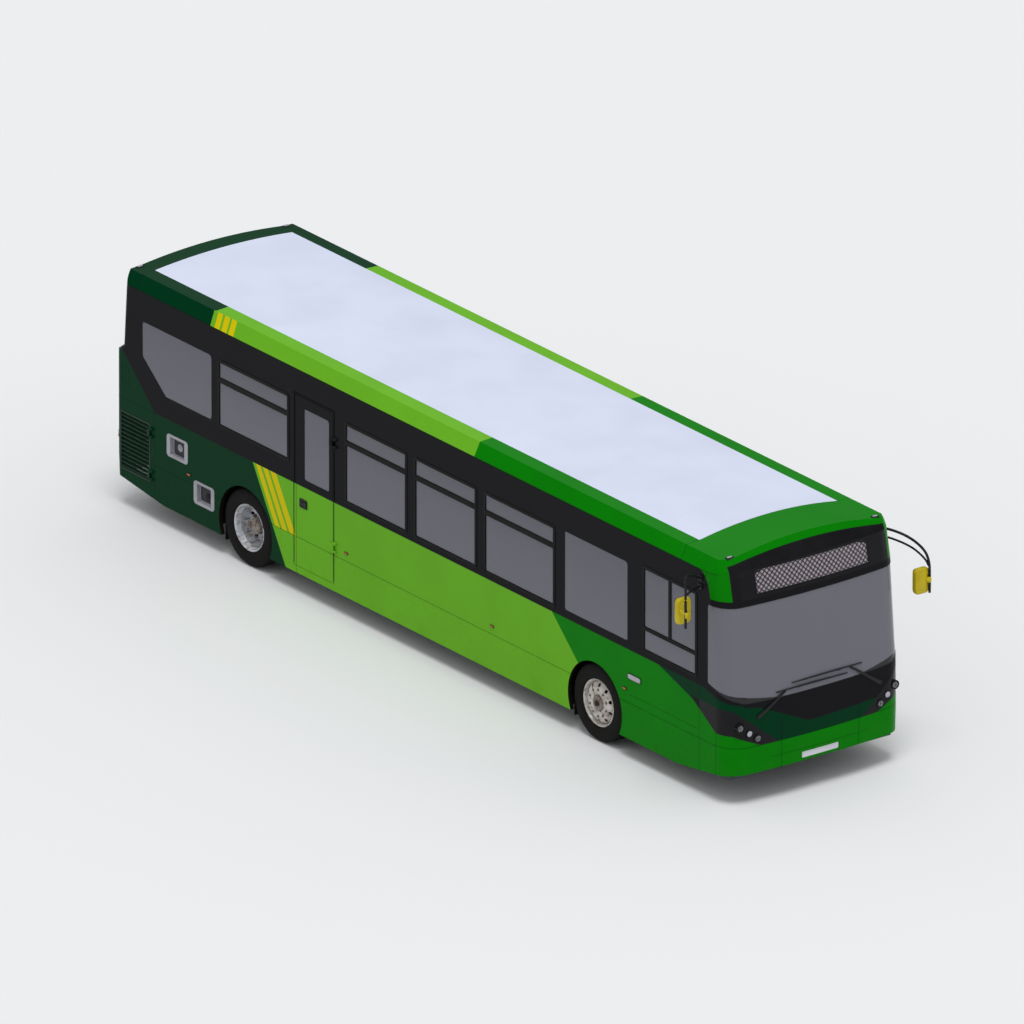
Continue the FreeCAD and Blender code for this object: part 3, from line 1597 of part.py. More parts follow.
def passenger_seats():
    first = front_axle_x - wheel_box_half_length - seat_cushion_depth
    wall_y = inner_y - seat
    seats = []
    for row in seat_rows_right:
        x = first - row * seat_pitch
        seats.append(seat_pair(x, -wall_y, -wall_y + seat_width, floor_z))
    for row in seat_rows_left:
        x = first - row * seat_pitch
        seats.append(seat_pair(x, wall_y - seat_width, wall_y, floor_z))
    deck_x = rear_axle_x - wheel_box_half_length - 2 * wheel_box_wall - seat_pitch / 4
    for side in (1, -1):
        near = min(side * wall_y, side * (wall_y - seat_width))
        seats.append(seat_pair(deck_x, near, near + seat_width, rear_floor_z))
    bench_x = engine_deck_x - seat_pitch / 2
    bench = seat_pair(bench_x, -wall_y + wall, wall_y - wall, engine_deck_z)
    return group(seats + [bench])


def driver_seat():
    return seat_pair(driver_seat_x, driver_y - driver_seat_width / 2,
                     driver_y + driver_seat_width / 2, cab_floor_z)


def dash_rear_x():
    return half_length - cab_front_gap - dash_depth


def steering_wheel():
    """Rim of square section with one cross spoke, on a column that leans into the dashboard."""
    centre = V(steering_wheel_x, driver_y, steering_wheel_z)
    r = steering_rim_radius
    outline = [V(steering_wheel_radius - r, 0, -r), V(steering_wheel_radius + r, 0, -r),
               V(steering_wheel_radius + r, 0, r), V(steering_wheel_radius - r, 0, r)]
    face = Part.Face(Part.makePolygon(outline + outline[:1]))
    ring = face.revolve(V(0, 0, 0), V(0, 0, 1), 360)
    spoke = block(-r, r, -steering_wheel_radius, steering_wheel_radius, -r / 2, r / 2)
    wheel = ring.fuse(spoke)
    wheel.rotate(V(0, 0, 0), V(0, 1, 0), -steering_tilt)
    wheel.translate(centre)
    foot = V(dash_rear_x() + 4 * r, driver_y, dash_top_z - 4 * r)
    column = rod(centre, foot, 2 * r)
    return wheel.fuse(column).cut(dash_block(seat))


def dash_block(grow):
    front_x = half_length - cab_front_gap
    return block(dash_rear_x() - grow, front_x + grow, -floor_half, dash_left_y + grow,
                 cab_floor_z - grow, dash_top_z + grow)


def dashboard():
    front_x = half_length - cab_front_gap
    solid = block(dash_rear_x(), front_x, -floor_half, dash_left_y, cab_floor_z, dash_top_z)
    return solid.common(front_form(wall + seat))


def cab_partition():
    """Screen behind the driver and beside the gangway, on the cab floor's edge."""
    rear = block(cab_rear_x, cab_rear_x + partition_thickness, -floor_half,
                 cab_inner_y, cab_floor_z, partition_top_z)
    side = block(cab_rear_x, front_axle_x + wheel_box_half_length + wheel_radius,
                 cab_inner_y - partition_thickness, cab_inner_y, cab_floor_z, dash_top_z)
    return group([rear.fuse(side), cab_platform()])


def handrails():
    """Posts from floor to ceiling, with a high rail along each side of the gangway."""
    y = gangway_half
    x0 = rear_floor_start_x + seat_pitch
    x1 = front_axle_x
    roof_form = section_prism(wall + seat, 0.0)
    pieces = []
    for side in (1, -1):
        rails = [rod(V(x0, side * y, high_rail_z), V(x1, side * y, high_rail_z), rail_tube_radius)]
        step = (x1 - x0) / rail_post_gaps
        for i in range(rail_post_gaps + 1):
            x = x0 + i * step
            rails.append(rod(V(x, side * y, floor_z + seat), V(x, side * y, roof_z), rail_tube_radius))
        pieces.append(join(rails).common(roof_form))
    return group(pieces)


def save_shell():
    save("side_right", side_right())
    save("side_left", side_left())
    save("roof", roof())
    save("front_mask", front_mask())
    save("front_bumper", front_bumper())
    save("front_dome", front_dome())
    save("destination_panel", destination_panel())
    save("destination_sign", destination_sign())
    save("windscreen", windscreen())
    save("rear_lower", rear_lower())
    save("rear_upper", rear_upper())
    save("rear_screen", rear_screen())
    save("rear_bumper", rear_bumper())


def save_windows():
    for name, bays, side in (("right", offside_bays, -1), ("left", nearside_bays, 1)):
        frames = []
        panes = []
        for x0, x1, kind in bay_spans(bays):
            if kind == "exit":
                continue
            panes += bay_panes(x0, x1, kind, side)
            if kind in ("hopper", "short"):
                frames.append(bay_frame(x0, x1, kind, side))
        if side < 0:
            frames.append(driver_window_frame())
            for x0, x1, z0, z1 in driver_window_lights():
                panes.append(pane(x0, x1, z0, z1, 0.0, side))
        save("window_frames_" + name, group(frames))
        save("side_glass_" + name, group(panes))


def save_doors():
    for name, post_x, sign in (("rear", post_rear_x, 1), ("front", post_front_x, -1)):
        save("door_arm_" + name, placed_door(door_arm_solid(), post_x, sign))
        save("door_leaf_" + name, placed_door(door_leaf_solid(), post_x, sign))
        save("door_glass_" + name, placed_door(door_glass_solid(), post_x, sign))
    save("door_header", door_header())
    save("emergency_door", emergency_door())
    x0, x1, z0, z1 = exit_window_span()
    save("emergency_glass", pane(x0, x1, z0, z1, window_corner - seat, -1))
    save("engine_cover", engine_cover())
    save("grille_door", grille_door())
    save("hinge_pins", group(exit_hinge_pins() + cover_hinge_pins() + grille_hinge_pins()))


def save_fittings():
    lamp = headlamp()
    save("headlamps", group(both_sides(lamp)))
    save("tail_lamps", group(tail_lamps()))
    save("marker_lamps", group(marker_lamps()))
    save("filler_frames", group([filler_tray(span) for span in filler_spans]))
    save("mirror_right", mirror_right())
    save("mirror_left", mirror_left())
    save("wipers", wipers())


def save_interior():
    save("floor", floor())
    save("wheel_boxes", wheel_boxes())
    save("passenger_seats", passenger_seats())
    save("driver_seat", driver_seat())
    save("dashboard", dashboard())
    save("steering_wheel", steering_wheel())
    save("cab_partition", cab_partition())
    save("handrails", handrails())


def save_running_gear():
    save("chassis_frame", chassis_frame())
    save("tow_sockets", tow_sockets())
    save("engine_block", engine_block())
    save("front_axle", front_axle())
    save("rear_axle", rear_axle())
    save("mudflaps", mudflaps())
    front = V(front_axle_x, wheel_y, wheel_z)
    rear = V(rear_axle_x, wheel_y, wheel_z)
    twin = V(0, twin_spacing, 0)
    pieces = {
        "knuckle": knuckle(front),
        "tyre_front": tyre(front),
        "rim_front": front_rim(front),
        "tyre_rear": group([tyre(rear), tyre(rear - twin)]),
        "rim_rear": rear_rim(rear),
    }
    for name, piece in pieces.items():
        save(name + "_left", piece)
        save(name + "_right", mirrored(piece))


save_shell()
save_windows()
save_doors()
save_fittings()
save_interior()
save_running_gear()
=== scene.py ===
# %% [markdown]
# # A low-floor city bus
#
# The bus is already built as solid pieces, each on the body that carries it. This
# notebook gives those pieces their finish: paint, glass, rubber and cloth. Where a
# plain solid isn't enough, such as a tyre or a seat, it models a better piece in the
# same place. Everything is in metres, with +X forward, +Y to the door side and +Z up.

# %% Load the bus
import math

import bmesh
import bpy
from mathutils import Matrix, Vector


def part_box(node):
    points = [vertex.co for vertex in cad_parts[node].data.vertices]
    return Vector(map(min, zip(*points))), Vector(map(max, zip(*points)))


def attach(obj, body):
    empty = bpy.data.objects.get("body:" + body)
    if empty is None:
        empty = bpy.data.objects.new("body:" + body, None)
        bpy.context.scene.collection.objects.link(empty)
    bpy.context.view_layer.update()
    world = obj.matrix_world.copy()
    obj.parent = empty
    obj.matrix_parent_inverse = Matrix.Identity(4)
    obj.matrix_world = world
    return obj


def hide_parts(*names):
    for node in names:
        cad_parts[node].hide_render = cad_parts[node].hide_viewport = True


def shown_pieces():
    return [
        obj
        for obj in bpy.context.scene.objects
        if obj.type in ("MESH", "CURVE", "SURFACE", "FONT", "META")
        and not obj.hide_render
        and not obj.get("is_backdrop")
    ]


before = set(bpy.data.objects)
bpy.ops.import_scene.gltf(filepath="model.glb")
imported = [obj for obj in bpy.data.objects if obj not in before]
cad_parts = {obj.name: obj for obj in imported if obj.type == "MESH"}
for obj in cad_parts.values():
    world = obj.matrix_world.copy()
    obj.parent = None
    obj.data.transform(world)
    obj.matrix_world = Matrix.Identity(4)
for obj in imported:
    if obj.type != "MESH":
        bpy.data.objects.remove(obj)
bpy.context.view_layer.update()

# %% [markdown]
# ## Camera
#
# The picture that this bus follows looks down on its right front corner and has
# almost no perspective. A very long lens far away gives the same calm lines.

# %% Camera
view_azimuth = math.radians(53.0)
view_elevation = math.radians(22.0)
view_target = Vector((0.082, -0.014, 1.492))
view_distance = 537.0
lens_mm = 1650.0
sensor_mm = 36.0
clip_range = (10.0, 2000.0)


def add_object(name, data):
    """A new object in the scene."""
    made = bpy.data.objects.new(name, data)
    bpy.context.scene.collection.objects.link(made)
    return made


def aim(thing, direction):
    """Turns a camera or a light to look along a direction."""
    thing.rotation_mode = "QUATERNION"
    thing.rotation_quaternion = direction.to_track_quat("-Z", "Y")


camera = add_object("camera", bpy.data.cameras.new("camera"))
camera.data.lens = lens_mm
camera.data.sensor_width = sensor_mm
camera.data.clip_start, camera.data.clip_end = clip_range
towards_camera = Vector((
    math.sin(view_azimuth) * math.cos(view_elevation),
    -math.cos(view_azimuth) * math.cos(view_elevation),
    math.sin(view_elevation),
))
camera.location = view_target + towards_camera * view_distance
aim(camera, -towards_camera)
bpy.context.scene.camera = camera
print("camera at", tuple(round(c, 1) for c in camera.location))

# %% [markdown]
# ## Shader maths as plain Python
#
# A material is a graph of small nodes. Wiring them by hand takes a lot of lines, so
# one class wraps a socket and lets `+`, `*`, `<` or `&` add the Math node, and one
# method makes every other kind of node. A mask such as `(z > 1.0) & (x < 2.0)` then
# reads as what it means: white where both hold.


# %% Wrapped sockets
class Wire:
    """A socket of a material, on which Python's operators add Math nodes."""

    def __init__(self, graph, socket):
        self.graph = graph
        self.socket = socket

    def math(self, operation, *values):
        return self.graph.node("ShaderNodeMath", {"operation": operation}, dict(enumerate(values)))

    def __abs__(self):
        return self.math("ABSOLUTE", self)

    def __invert__(self):
        return 1.0 - self

    def wave(self, pitch):
        """0 to 1 and back, once in every pitch."""
        return self.math("PINGPONG", self, pitch / 2) / (pitch / 2)


def operator(operation, swapped=False):
    """The method behind one of Python's operators, which adds one kind of Math node."""
    def method(self, other):
        return self.math(operation, *((other, self) if swapped else (self, other)))
    return method


operators = {"add": "ADD", "sub": "SUBTRACT", "mul": "MULTIPLY", "truediv": "DIVIDE",
             "gt": "GREATER_THAN", "lt": "LESS_THAN", "and": "MINIMUM", "or": "MAXIMUM"}
for name, operation in operators.items():
    setattr(Wire, f"__{name}__", operator(operation))
    setattr(Wire, f"__r{name}__", operator(operation, swapped=True))
print("operators:", len(operators))


# %% Colours and graphs
def srgb(code):
    """Linear colour of a hex code."""
    parts = [int(code[i:i + 2], 16) / 255 for i in (1, 3, 5)]
    linear = [c / 12.92 if c < 0.04045 else ((c + 0.055) / 1.055) ** 2.4 for c in parts]
    return (*linear, 1.0)


class Graph:
    """A tree of shader nodes. Colours are given as hex codes."""

    def __init__(self, tree):
        self.tree = tree

    def feed(self, socket, value):
        if isinstance(value, Wire):
            self.tree.links.new(value.socket, socket)
        else:
            socket.default_value = srgb(value) if isinstance(value, str) else value

    def node(self, kind, settings=None, sockets=None, output=0):
        """Adds a node: its settings first, then the values or wires of its sockets."""
        made = self.tree.nodes.new(kind)
        for key, value in (settings or {}).items():
            setattr(made, key, value)
        for key, value in (sockets or {}).items():
            self.feed(made.inputs[key], value)
        return made if output is None else Wire(self, made.outputs[output])

    def ramp(self, value, first, *middle, last):
        """A colour that runs through stops of (position, colour)."""
        made = self.node("ShaderNodeValToRGB", {}, {0: value}, output=None)
        stops = made.color_ramp.elements
        for stop, (position, colour) in zip(stops, (first, last)):
            stop.position, stop.color = position, srgb(colour)
        for position, colour in middle:
            stops.new(position).color = srgb(colour)
        return Wire(self, made.outputs[0])

    def coordinates(self, kind):
        """The x, y and z of the point: of its place on the piece, or of its direction."""
        whole = self.node("ShaderNodeTexCoord", output=kind)
        return [self.node("ShaderNodeSeparateXYZ", {}, {0: whole}, i) for i in range(3)]


class Finish(Graph):
    """One material with a Principled shader, and its nodes."""

    def __init__(self, name, colour="#808080", **plain):
        self.material = bpy.data.materials.new(name)
        self.material.use_nodes = True
        super().__init__(self.material.node_tree)
        self.shader = self.tree.nodes["Principled BSDF"]
        self.set("Base Color", colour)
        for socket, value in plain.items():
            self.set(socket.replace("_", " ").title().replace("Ior", "IOR"), value)
        self.material.diffuse_color = srgb(colour)

    def set(self, name, value):
        self.feed(self.shader.inputs[name], value)

    def place(self):
        """The point's x, y and z on the bus, which stay with the piece when it moves."""
        return self.coordinates("Object")

    def facing(self):
        """The x, y and z of the surface's direction."""
        return self.coordinates("Normal")

    def noise(self, scale, detail=2.0):
        spot = self.node("ShaderNodeTexCoord", output="Object")
        return self.node("ShaderNodeTexNoise", {}, {0: spot, "Scale": scale, "Detail": detail})

    def smooth(self, value, low, high):
        """0 below low, 1 above high, and a soft step between them."""
        return self.node("ShaderNodeMapRange", {"interpolation_type": "SMOOTHSTEP"},
                         {0: value, 1: low, 2: high})

    def patches(self, scale, detail, low, high):
        """Soft-edged patches, where a noise is above low."""
        return self.smooth(self.noise(scale, detail), low, high)

    def blend(self, factor, below, above):
        """Colour below, turning into colour above as factor goes from 0 to 1."""
        return self.node("ShaderNodeMix", {"data_type": "RGBA"},
                         {0: factor, 6: below, 7: above}, 2)

    def layers(self, colour, *layers):
        """A colour with layers of (mask, colour) over it, the last one on top."""
        for mask, above in layers:
            colour = self.blend(mask, colour, above)
        return colour

    def bump(self, height, distance, strength=1.0):
        self.set("Normal", self.node("ShaderNodeBump", {}, {
            "Height": height, "Distance": distance, "Strength": strength}))


def any_of(masks):
    total = masks[0]
    for mask in masks[1:]:
        total = total | mask
    return total


print("shader helpers ready")

# %% [markdown]
# ## Light, floor and background
#
# Paint shows its own colour best under broad, even light. A pale sky from all sides
# does most of the work, and one large soft sun from above the camera's shoulder makes
# the roof a little brighter than the sides and puts a soft shadow on the floor. Shiny
# things mirror a darker sky, pale only overhead, or dark paint would look grey.

# %% Studio
sky_strength = 0.68
mirrored_strength = 0.42
sun_strength = 1.61
sun_angle = math.radians(25.0)
sun_direction = Vector((-0.20, 0.12, -1.0))
backdrop = "#E9EAEC"
floor_half = 400.0
floor_drop = 0.0015

world = bpy.data.worlds.new("studio")
bpy.context.scene.world = world
world.use_nodes = True
world.node_tree.nodes.clear()
sky = Graph(world.node_tree)
camera_ray, through_ray, mirror_ray = [
    sky.node("ShaderNodeLightPath", output=f"Is {kind} Ray")
    for kind in ("Camera", "Transmission", "Glossy")]
height = sky.coordinates("Generated")[2]
mirrored_tone = sky.ramp(height, (0.0, "#1C1E20"), (0.10, "#4C5054"), (0.45, "#8F959B"),
                         last=(1.0, "#F4F6F8"))
lit, mirrored, seen = [
    sky.node("ShaderNodeBackground", {}, {0: colour, 1: strength})
    for colour, strength in (("#FFFFFF", sky_strength), (mirrored_tone, mirrored_strength),
                             (backdrop, 1.0))]
shining = sky.node("ShaderNodeMixShader", {}, {0: mirror_ray, 1: lit, 2: mirrored})
shown = sky.node("ShaderNodeMixShader", {}, {0: camera_ray | through_ray, 1: shining, 2: seen})
sky.node("ShaderNodeOutputWorld", {}, {0: shown}, output=None)

sun = add_object("sun", bpy.data.lights.new("sun", "SUN"))
sun.data.energy = sun_strength
sun.data.angle = sun_angle
aim(sun, sun_direction)

floor_mesh = bpy.data.meshes.new("studio_floor")
floor_corners = [(-1, -1), (1, -1), (1, 1), (-1, 1)]
floor_mesh.from_pydata([(x * floor_half, y * floor_half, 0) for x, y in floor_corners],
                       [], [(0, 1, 2, 3)])
studio_floor = add_object("studio_floor", floor_mesh)
studio_floor.location.z = -floor_drop
floor_mesh.materials.append(Finish("floor_paper", "#DEDFE1", roughness=0.9).material)
studio_floor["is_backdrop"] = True
bpy.context.scene.view_settings.view_transform = "Standard"
print("sky", sky_strength, "sun", sun_strength)

# %% [markdown]
# ## Making meshes
#
# Most added pieces are one of a few kinds: a turned form, a bar or tube that follows a
# line, a flat sheet on the skin, or a soft block. One class gathers such forms into a
# mesh, smooths it and sets it on the body that carries it.


# %% Outlines and paths
def circle(radius, sides):
    """Points of a circle."""
    angles = [2 * math.pi * i / sides for i in range(sides)]
    return [(radius * math.cos(angle), radius * math.sin(angle)) for angle in angles]


def box_outline(half_across, half_up):
    """Corners of a rectangle about the origin."""
    return [(-half_across, -half_up), (half_across, -half_up),
            (half_across, half_up), (-half_across, half_up)]


def rounded(corners, radius, steps=5):
    """Closed outline of 2-D corners with each corner rounded."""
    outline = []
    for i, corner in enumerate(corners):
        here = Vector(corner)
        back = (Vector(corners[i - 1]) - here).normalized()
        ahead = (Vector(corners[(i + 1) % len(corners)]) - here).normalized()
        half = back.angle(ahead) / 2
        reach = radius / math.tan(half)
        centre = here + (back + ahead).normalized() * (radius / math.sin(half))
        start, end = here + back * reach - centre, here + ahead * reach - centre
        outline += [centre + start.slerp(end, step / steps, start) * radius
                    for step in range(steps + 1)]
    return outline


def smooth_path(points, steps=8):
    """Points on a curve that runs through all the given ones."""
    points = [Vector(p) for p in points]
    points = [points[0] * 2 - points[1]] + points + [points[-1] * 2 - points[-2]]
    path = []
    for a, b, c, d in zip(points, points[1:], points[2:], points[3:]):
        for i in range(steps):
            t = i / steps
            path.append(0.5 * (2 * b + (c - a) * t + (2 * a - 5 * b + 4 * c - d) * t * t
                               + (3 * b - a - 3 * c + d) * t ** 3))
    return path + [points[-2]]


def spread(low, high, count):
    """Evenly spaced values from low to high."""
    return [low + (high - low) * i / (count - 1) for i in range(count)]


def length(path):
    """Length of a path, in metres."""
    return sum((b - a).length for a, b in zip(path, path[1:]))


def quads(rings, count, rings_close=True, points_close=True):
    """Faces between neighbouring rings of points, and between neighbours in each ring."""
    faces = []
    for i in range(rings if rings_close else rings - 1):
        j = (i + 1) % rings
        for k in range(count if points_close else count - 1):
            m = (k + 1) % count
            faces.append((i * count + k, i * count + m, j * count + m, j * count + k))
    return faces


print("a circle of 8:", [tuple(round(c, 2) for c in point) for point in circle(1.0, 8)][:2])


# %% Gathering forms into a mesh
class Shape:
    """Vertices and faces of several simple forms, gathered into one mesh."""

    def __init__(self):
        self.verts = []
        self.faces = []

    def add(self, verts, faces):
        start = len(self.verts)
        self.verts += [Vector(v) for v in verts]
        self.faces += [[start + i for i in face] for face in faces]
        return self

    def turned(self, profile, centre, axis, steps=48, closed=False):
        """Profile of (radius, along) pairs, turned about an axis through centre."""
        turn = Vector((0, 0, 1)).rotation_difference(Vector(axis))
        count = len(profile)
        verts = [Vector(centre) + turn @ Vector((radius * x, radius * y, along))
                 for x, y in circle(1.0, steps) for radius, along in profile]
        faces = quads(steps, count, points_close=closed)
        if not closed:
            faces.append([i * count for i in range(steps)])
            faces.append([i * count - 1 for i in range(steps, 0, -1)])
        return self.add(verts, faces)

    def bar(self, path, section, closed=False, up=(0, 0, 1), sizes=None):
        """Section of (across, up) points, carried along a path, at a size for each point."""
        path = [Vector(p) for p in path]
        last = len(path) - 1
        verts = []
        for i, spot in enumerate(path):
            before = path[i - 1] if closed or i else spot
            after = path[(i + 1) % len(path)] if closed or i < last else spot
            run = (after - before).normalized()
            across = run.cross(Vector(up))
            if across.length < 1e-4:
                across = run.cross(Vector((1, 0, 0)))
            across.normalize()
            over = across.cross(run).normalized()
            stretch = 1.0
            if (closed or 0 < i < last) and (spot - before).length > 0:
                stretch = 1.0 / max(0.5, (spot - before).normalized().dot(run))
            size = sizes[i] if sizes else 1.0
            verts += [spot + across * a * stretch * size + over * b * size for a, b in section]
        count = len(section)
        faces = quads(len(path), count, rings_close=closed)
        if not closed:
            faces += [list(range(count))[::-1], [len(verts) - count + k for k in range(count)]]
        return self.add(verts, faces)

    def tube(self, path, radius, sides=10, closed=False, up=(0, 0, 1)):
        return self.bar(path, circle(radius, sides), closed, up)

    def soft(self, centre, size, power=4.0, rings=12, steps=24, turn=None):
        """Block with soft edges and slightly crowned faces: a superellipsoid."""
        centre, size = Vector(centre), Vector(size)

        def bent(value):
            return math.copysign(abs(value) ** (2.0 / power), value)

        verts = []
        for i in range(rings + 1):
            tilt = math.pi * (i / rings - 0.5)
            for j in range(steps):
                angle = 2 * math.pi * j / steps
                spot = Vector((bent(math.cos(tilt)) * bent(math.cos(angle)),
                               bent(math.cos(tilt)) * bent(math.sin(angle)), bent(math.sin(tilt))))
                spot = Vector([at * side / 2 for at, side in zip(spot, size)])
                verts.append(centre + (turn @ spot if turn else spot))
        return self.add(verts, quads(rings + 1, steps, rings_close=False))

    def sheet(self, spots, thickness):
        """Sheet through a grid of points, with thickness behind it."""
        rows, columns = len(spots), len(spots[0])
        front = [p for row in spots for p in row]
        back = []
        for r in range(rows):
            for c in range(columns):
                along = spots[r][min(c + 1, columns - 1)] - spots[r][max(c - 1, 0)]
                up = spots[min(r + 1, rows - 1)][c] - spots[max(r - 1, 0)][c]
                back.append(spots[r][c] - along.cross(up).normalized() * thickness)
        count = rows * columns
        faces = quads(rows, columns, rings_close=False, points_close=False)
        faces += [[count + face[i] for i in (0, 3, 2, 1)] for face in faces]
        edge = list(range(columns)) + [r * columns + columns - 1 for r in range(1, rows)]
        edge += [(rows - 1) * columns + c for c in range(columns - 2, -1, -1)]
        edge += [r * columns for r in range(rows - 2, 0, -1)]
        faces += [(a, b, count + b, count + a) for a, b in zip(edge, edge[1:] + edge[:1])]
        return self.add(front + back, faces)

    def make(self, name, finish, body="root", smooth=40.0, bevel=0.0, replaces=()):
        """The mesh piece on its body, with the solid pieces that it stands for."""
        mesh = bpy.data.meshes.new(name)
        mesh.from_pydata([tuple(v) for v in self.verts], [], self.faces)
        form = bmesh.new()
        form.from_mesh(mesh)
        bmesh.ops.recalc_face_normals(form, faces=form.faces)
        if bevel:
            edges = [e for e in form.edges
                     if len(e.link_faces) == 2 and e.calc_face_angle() > math.radians(30.0)]
            bmesh.ops.bevel(form, geom=edges, offset=bevel, segments=2, profile=0.5,
                            affect="EDGES", clamp_overlap=True)
        form.to_mesh(mesh)
        form.free()
        for polygon in mesh.polygons:
            polygon.use_smooth = True
        mesh.set_sharp_from_angle(angle=math.radians(smooth))
        mesh.materials.append(finish.material)
        made = add_object(name, mesh)
        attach(made, body)
        if replaces:
            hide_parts(*replaces)
        return made


def shapes(count):
    """Several empty shapes, for forms that are made together."""
    return [Shape() for _ in range(count)]


print("a soft block:", len(Shape().soft((0, 0, 0), (1, 1, 1)).faces), "faces")

# %% [markdown]
# ## Paint scheme
#
# The bus is dark green at the back, light green in the middle and mid green at the
# front, with three yellow stripes between dark and light, a black band round the
# windows and a white roof. On the real bus these are masked and sprayed or foiled
# over all panels at once. Here too one paint serves every panel: each colour is a
# region of the body's own coordinates, so it runs over joints without a break.

# %% Colours of the paint
dark_green = "#00341B"
light_green = "#66AC24"
mid_green = "#067804"
stripe_yellow = "#CEBC05"
roof_white = "#CCD2E6"
band_black = "#18181B"
joint_black = "#08080A"
trim_grey = "#A9ABAC"
seam_shade = "#07100A"
road_dust = "#5A4F3C"
# Near black for the inner faces of the wheel arches.
arch_near_black = "#191513"
print("colours of the bus:", dark_green, mid_green, light_green, stripe_yellow, roof_white)

# %% Levels and lines of the paint
waist = 1.344
band_top = 2.768
crease_level = 0.692
side_joint_level = 0.800
panel_half = 1.2
lean_slope = 0.5734
dark_end = -3.228
stripe_spans = [(-3.171, -3.081), (-3.033, -2.938), (-2.894, -2.780)]
top_dark_end = -4.040
top_stripe_spans = [(-3.963, -3.870), (-3.830, -3.733), (-3.697, -3.602)]
top_slope = -0.17
mid_start = 2.470
mid_slope = 1.052
top_mid_start = 1.000
roof_half = 0.984
roof_level = 2.85
roof_ends = (-5.459, 4.903)
front_start = 5.53
front_joint_level = 0.705
plate_joint_level = 0.53
bumper_joint_out = 0.55
nose_joint, cab_joint, exit_joint, rear_joint = 5.56, 5.248, -2.391, -5.127
print("stripe width", round(stripe_spans[0][1] - stripe_spans[0][0], 3), "m")

# %% [markdown]
# A slanting edge is a line: a place on it, its level there and how steeply it falls
# from there.

# %% Lines round the windows and the front corner
band_rear_line = (-5.113, waist, 0.946)
band_rear_end = -5.772
screen_foot_lines = ((5.395, 1.411, 0.232), (5.822, 1.312, 1.68))
shelf_drop = 0.088
swoosh_lines = ((-0.70, 1.10, 0.4566), (-0.17, 0.858, -0.0262))
pillar_start = 5.23
pillar_reach, pillar_rise = 0.22, 0.35
pillar_foot = 2.42
strip_top = 2.463
dash_tip_line = (4.379, waist, 0.2787)
dash_side_line = (5.05, 1.157, 0.33)
dash_front_line = (0.59, 0.70, -0.44)
dash_top = 1.40
tip_line = (5.067, 1.17, 0.65)
tip_front, tip_low, tip_out = 5.30, 1.0, 1.15
exit_span, exit_levels = (-2.447, -1.655), (waist, 2.482)
exit_rear_joint, exit_front_joint = (-2.447, -2.407), (-1.703, -1.655)
exit_top_joint = 2.434
flap_span, flap_levels = (-5.748, -5.600), (1.529, 1.746)
arch_centres = (3.286, -3.371)
arch_level = 0.4685
arch_reach = 0.516
print("wheelbase", round(arch_centres[0] - arch_centres[1], 3), "m")


# %% Masks of the paint
def within(value, low, high):
    return (value > low) & (value < high)


def at_line(value, place, half=0.003):
    """A thin line where the value is at one place."""
    return abs(value - place) < half


def squared(value):
    return value * value


def fall(value, place, level, steepness):
    """Level of a slanting line."""
    return level - (value - place) * steepness


def screen_foot(x):
    """Level of the windscreen's lower edge round the corner: the lower of two lines."""
    side_line, corner_line = screen_foot_lines
    return fall(x, *side_line) & fall(x, *corner_line)


def green_masks(x, z, out, top, upward):
    """Where the dark and mid greens and the yellow stripes are."""
    lean = x - lean_slope * (waist - z)
    top_lean = x - top_slope * (z - band_top) * ~upward
    dark = (top & (top_lean < top_dark_end)) | (~top & (lean < dark_end))
    mid = (top & (x > top_mid_start)) | (~top & (x - mid_slope * (waist - z) > mid_start))
    low_stripes = any_of([within(lean, *span) for span in stripe_spans])
    low_stripes = low_stripes & within(z, crease_level, waist) & (out > panel_half)
    top_stripes = any_of([within(top_lean, *span) for span in top_stripe_spans]) & top & ~upward
    return dark, mid, low_stripes | top_stripes


def dash_mask(x, z, out, at_front):
    """The dark green flash that runs from the last side window down across the front."""
    above = at_front & (z > fall(out, *dash_front_line)) & (z > front_joint_level)
    above = above | (~at_front & (z > fall(x, *dash_side_line)))
    wedge = (z > fall(x, *dash_tip_line)) | (x > dash_side_line[0])
    return above & wedge & (z < dash_top) & (x > dash_tip_line[0])


def black_masks(x, y, z, out, top, at_front, rear_drop):
    """The window band, the tip behind the headlamps and the swoosh under the screen."""
    edge_shelf = (screen_foot(x) - shelf_drop) & waist
    swoosh = at_front
    for line in swoosh_lines:
        swoosh = swoosh & (z > fall(y, *line))
    low_black = (z > edge_shelf) | swoosh
    rear_black = (z > fall(x, *band_rear_line)) & (x > band_rear_end)
    corner = (squared((x - pillar_start) / pillar_reach)
              + squared((z - pillar_foot) / pillar_rise))
    pillar = (x < pillar_start) | (corner < 1.0) | (z < strip_top)
    band = low_black & rear_black & pillar & ~top & (z < band_top - rear_drop)
    tip = within(x, tip_line[0], tip_front) & within(z, tip_low, tip_line[1])
    tip = tip & (z > fall(x, *tip_line)) & (out > tip_out)
    return band, tip, swoosh


def exit_joint_mask(x, y, z):
    """The wide black joints of the emergency door, above the waist."""
    joints = within(x, *exit_rear_joint) | within(x, *exit_front_joint) | (z > exit_top_joint)
    return joints & within(x, *exit_span) & within(z, *exit_levels) & (y < -panel_half)


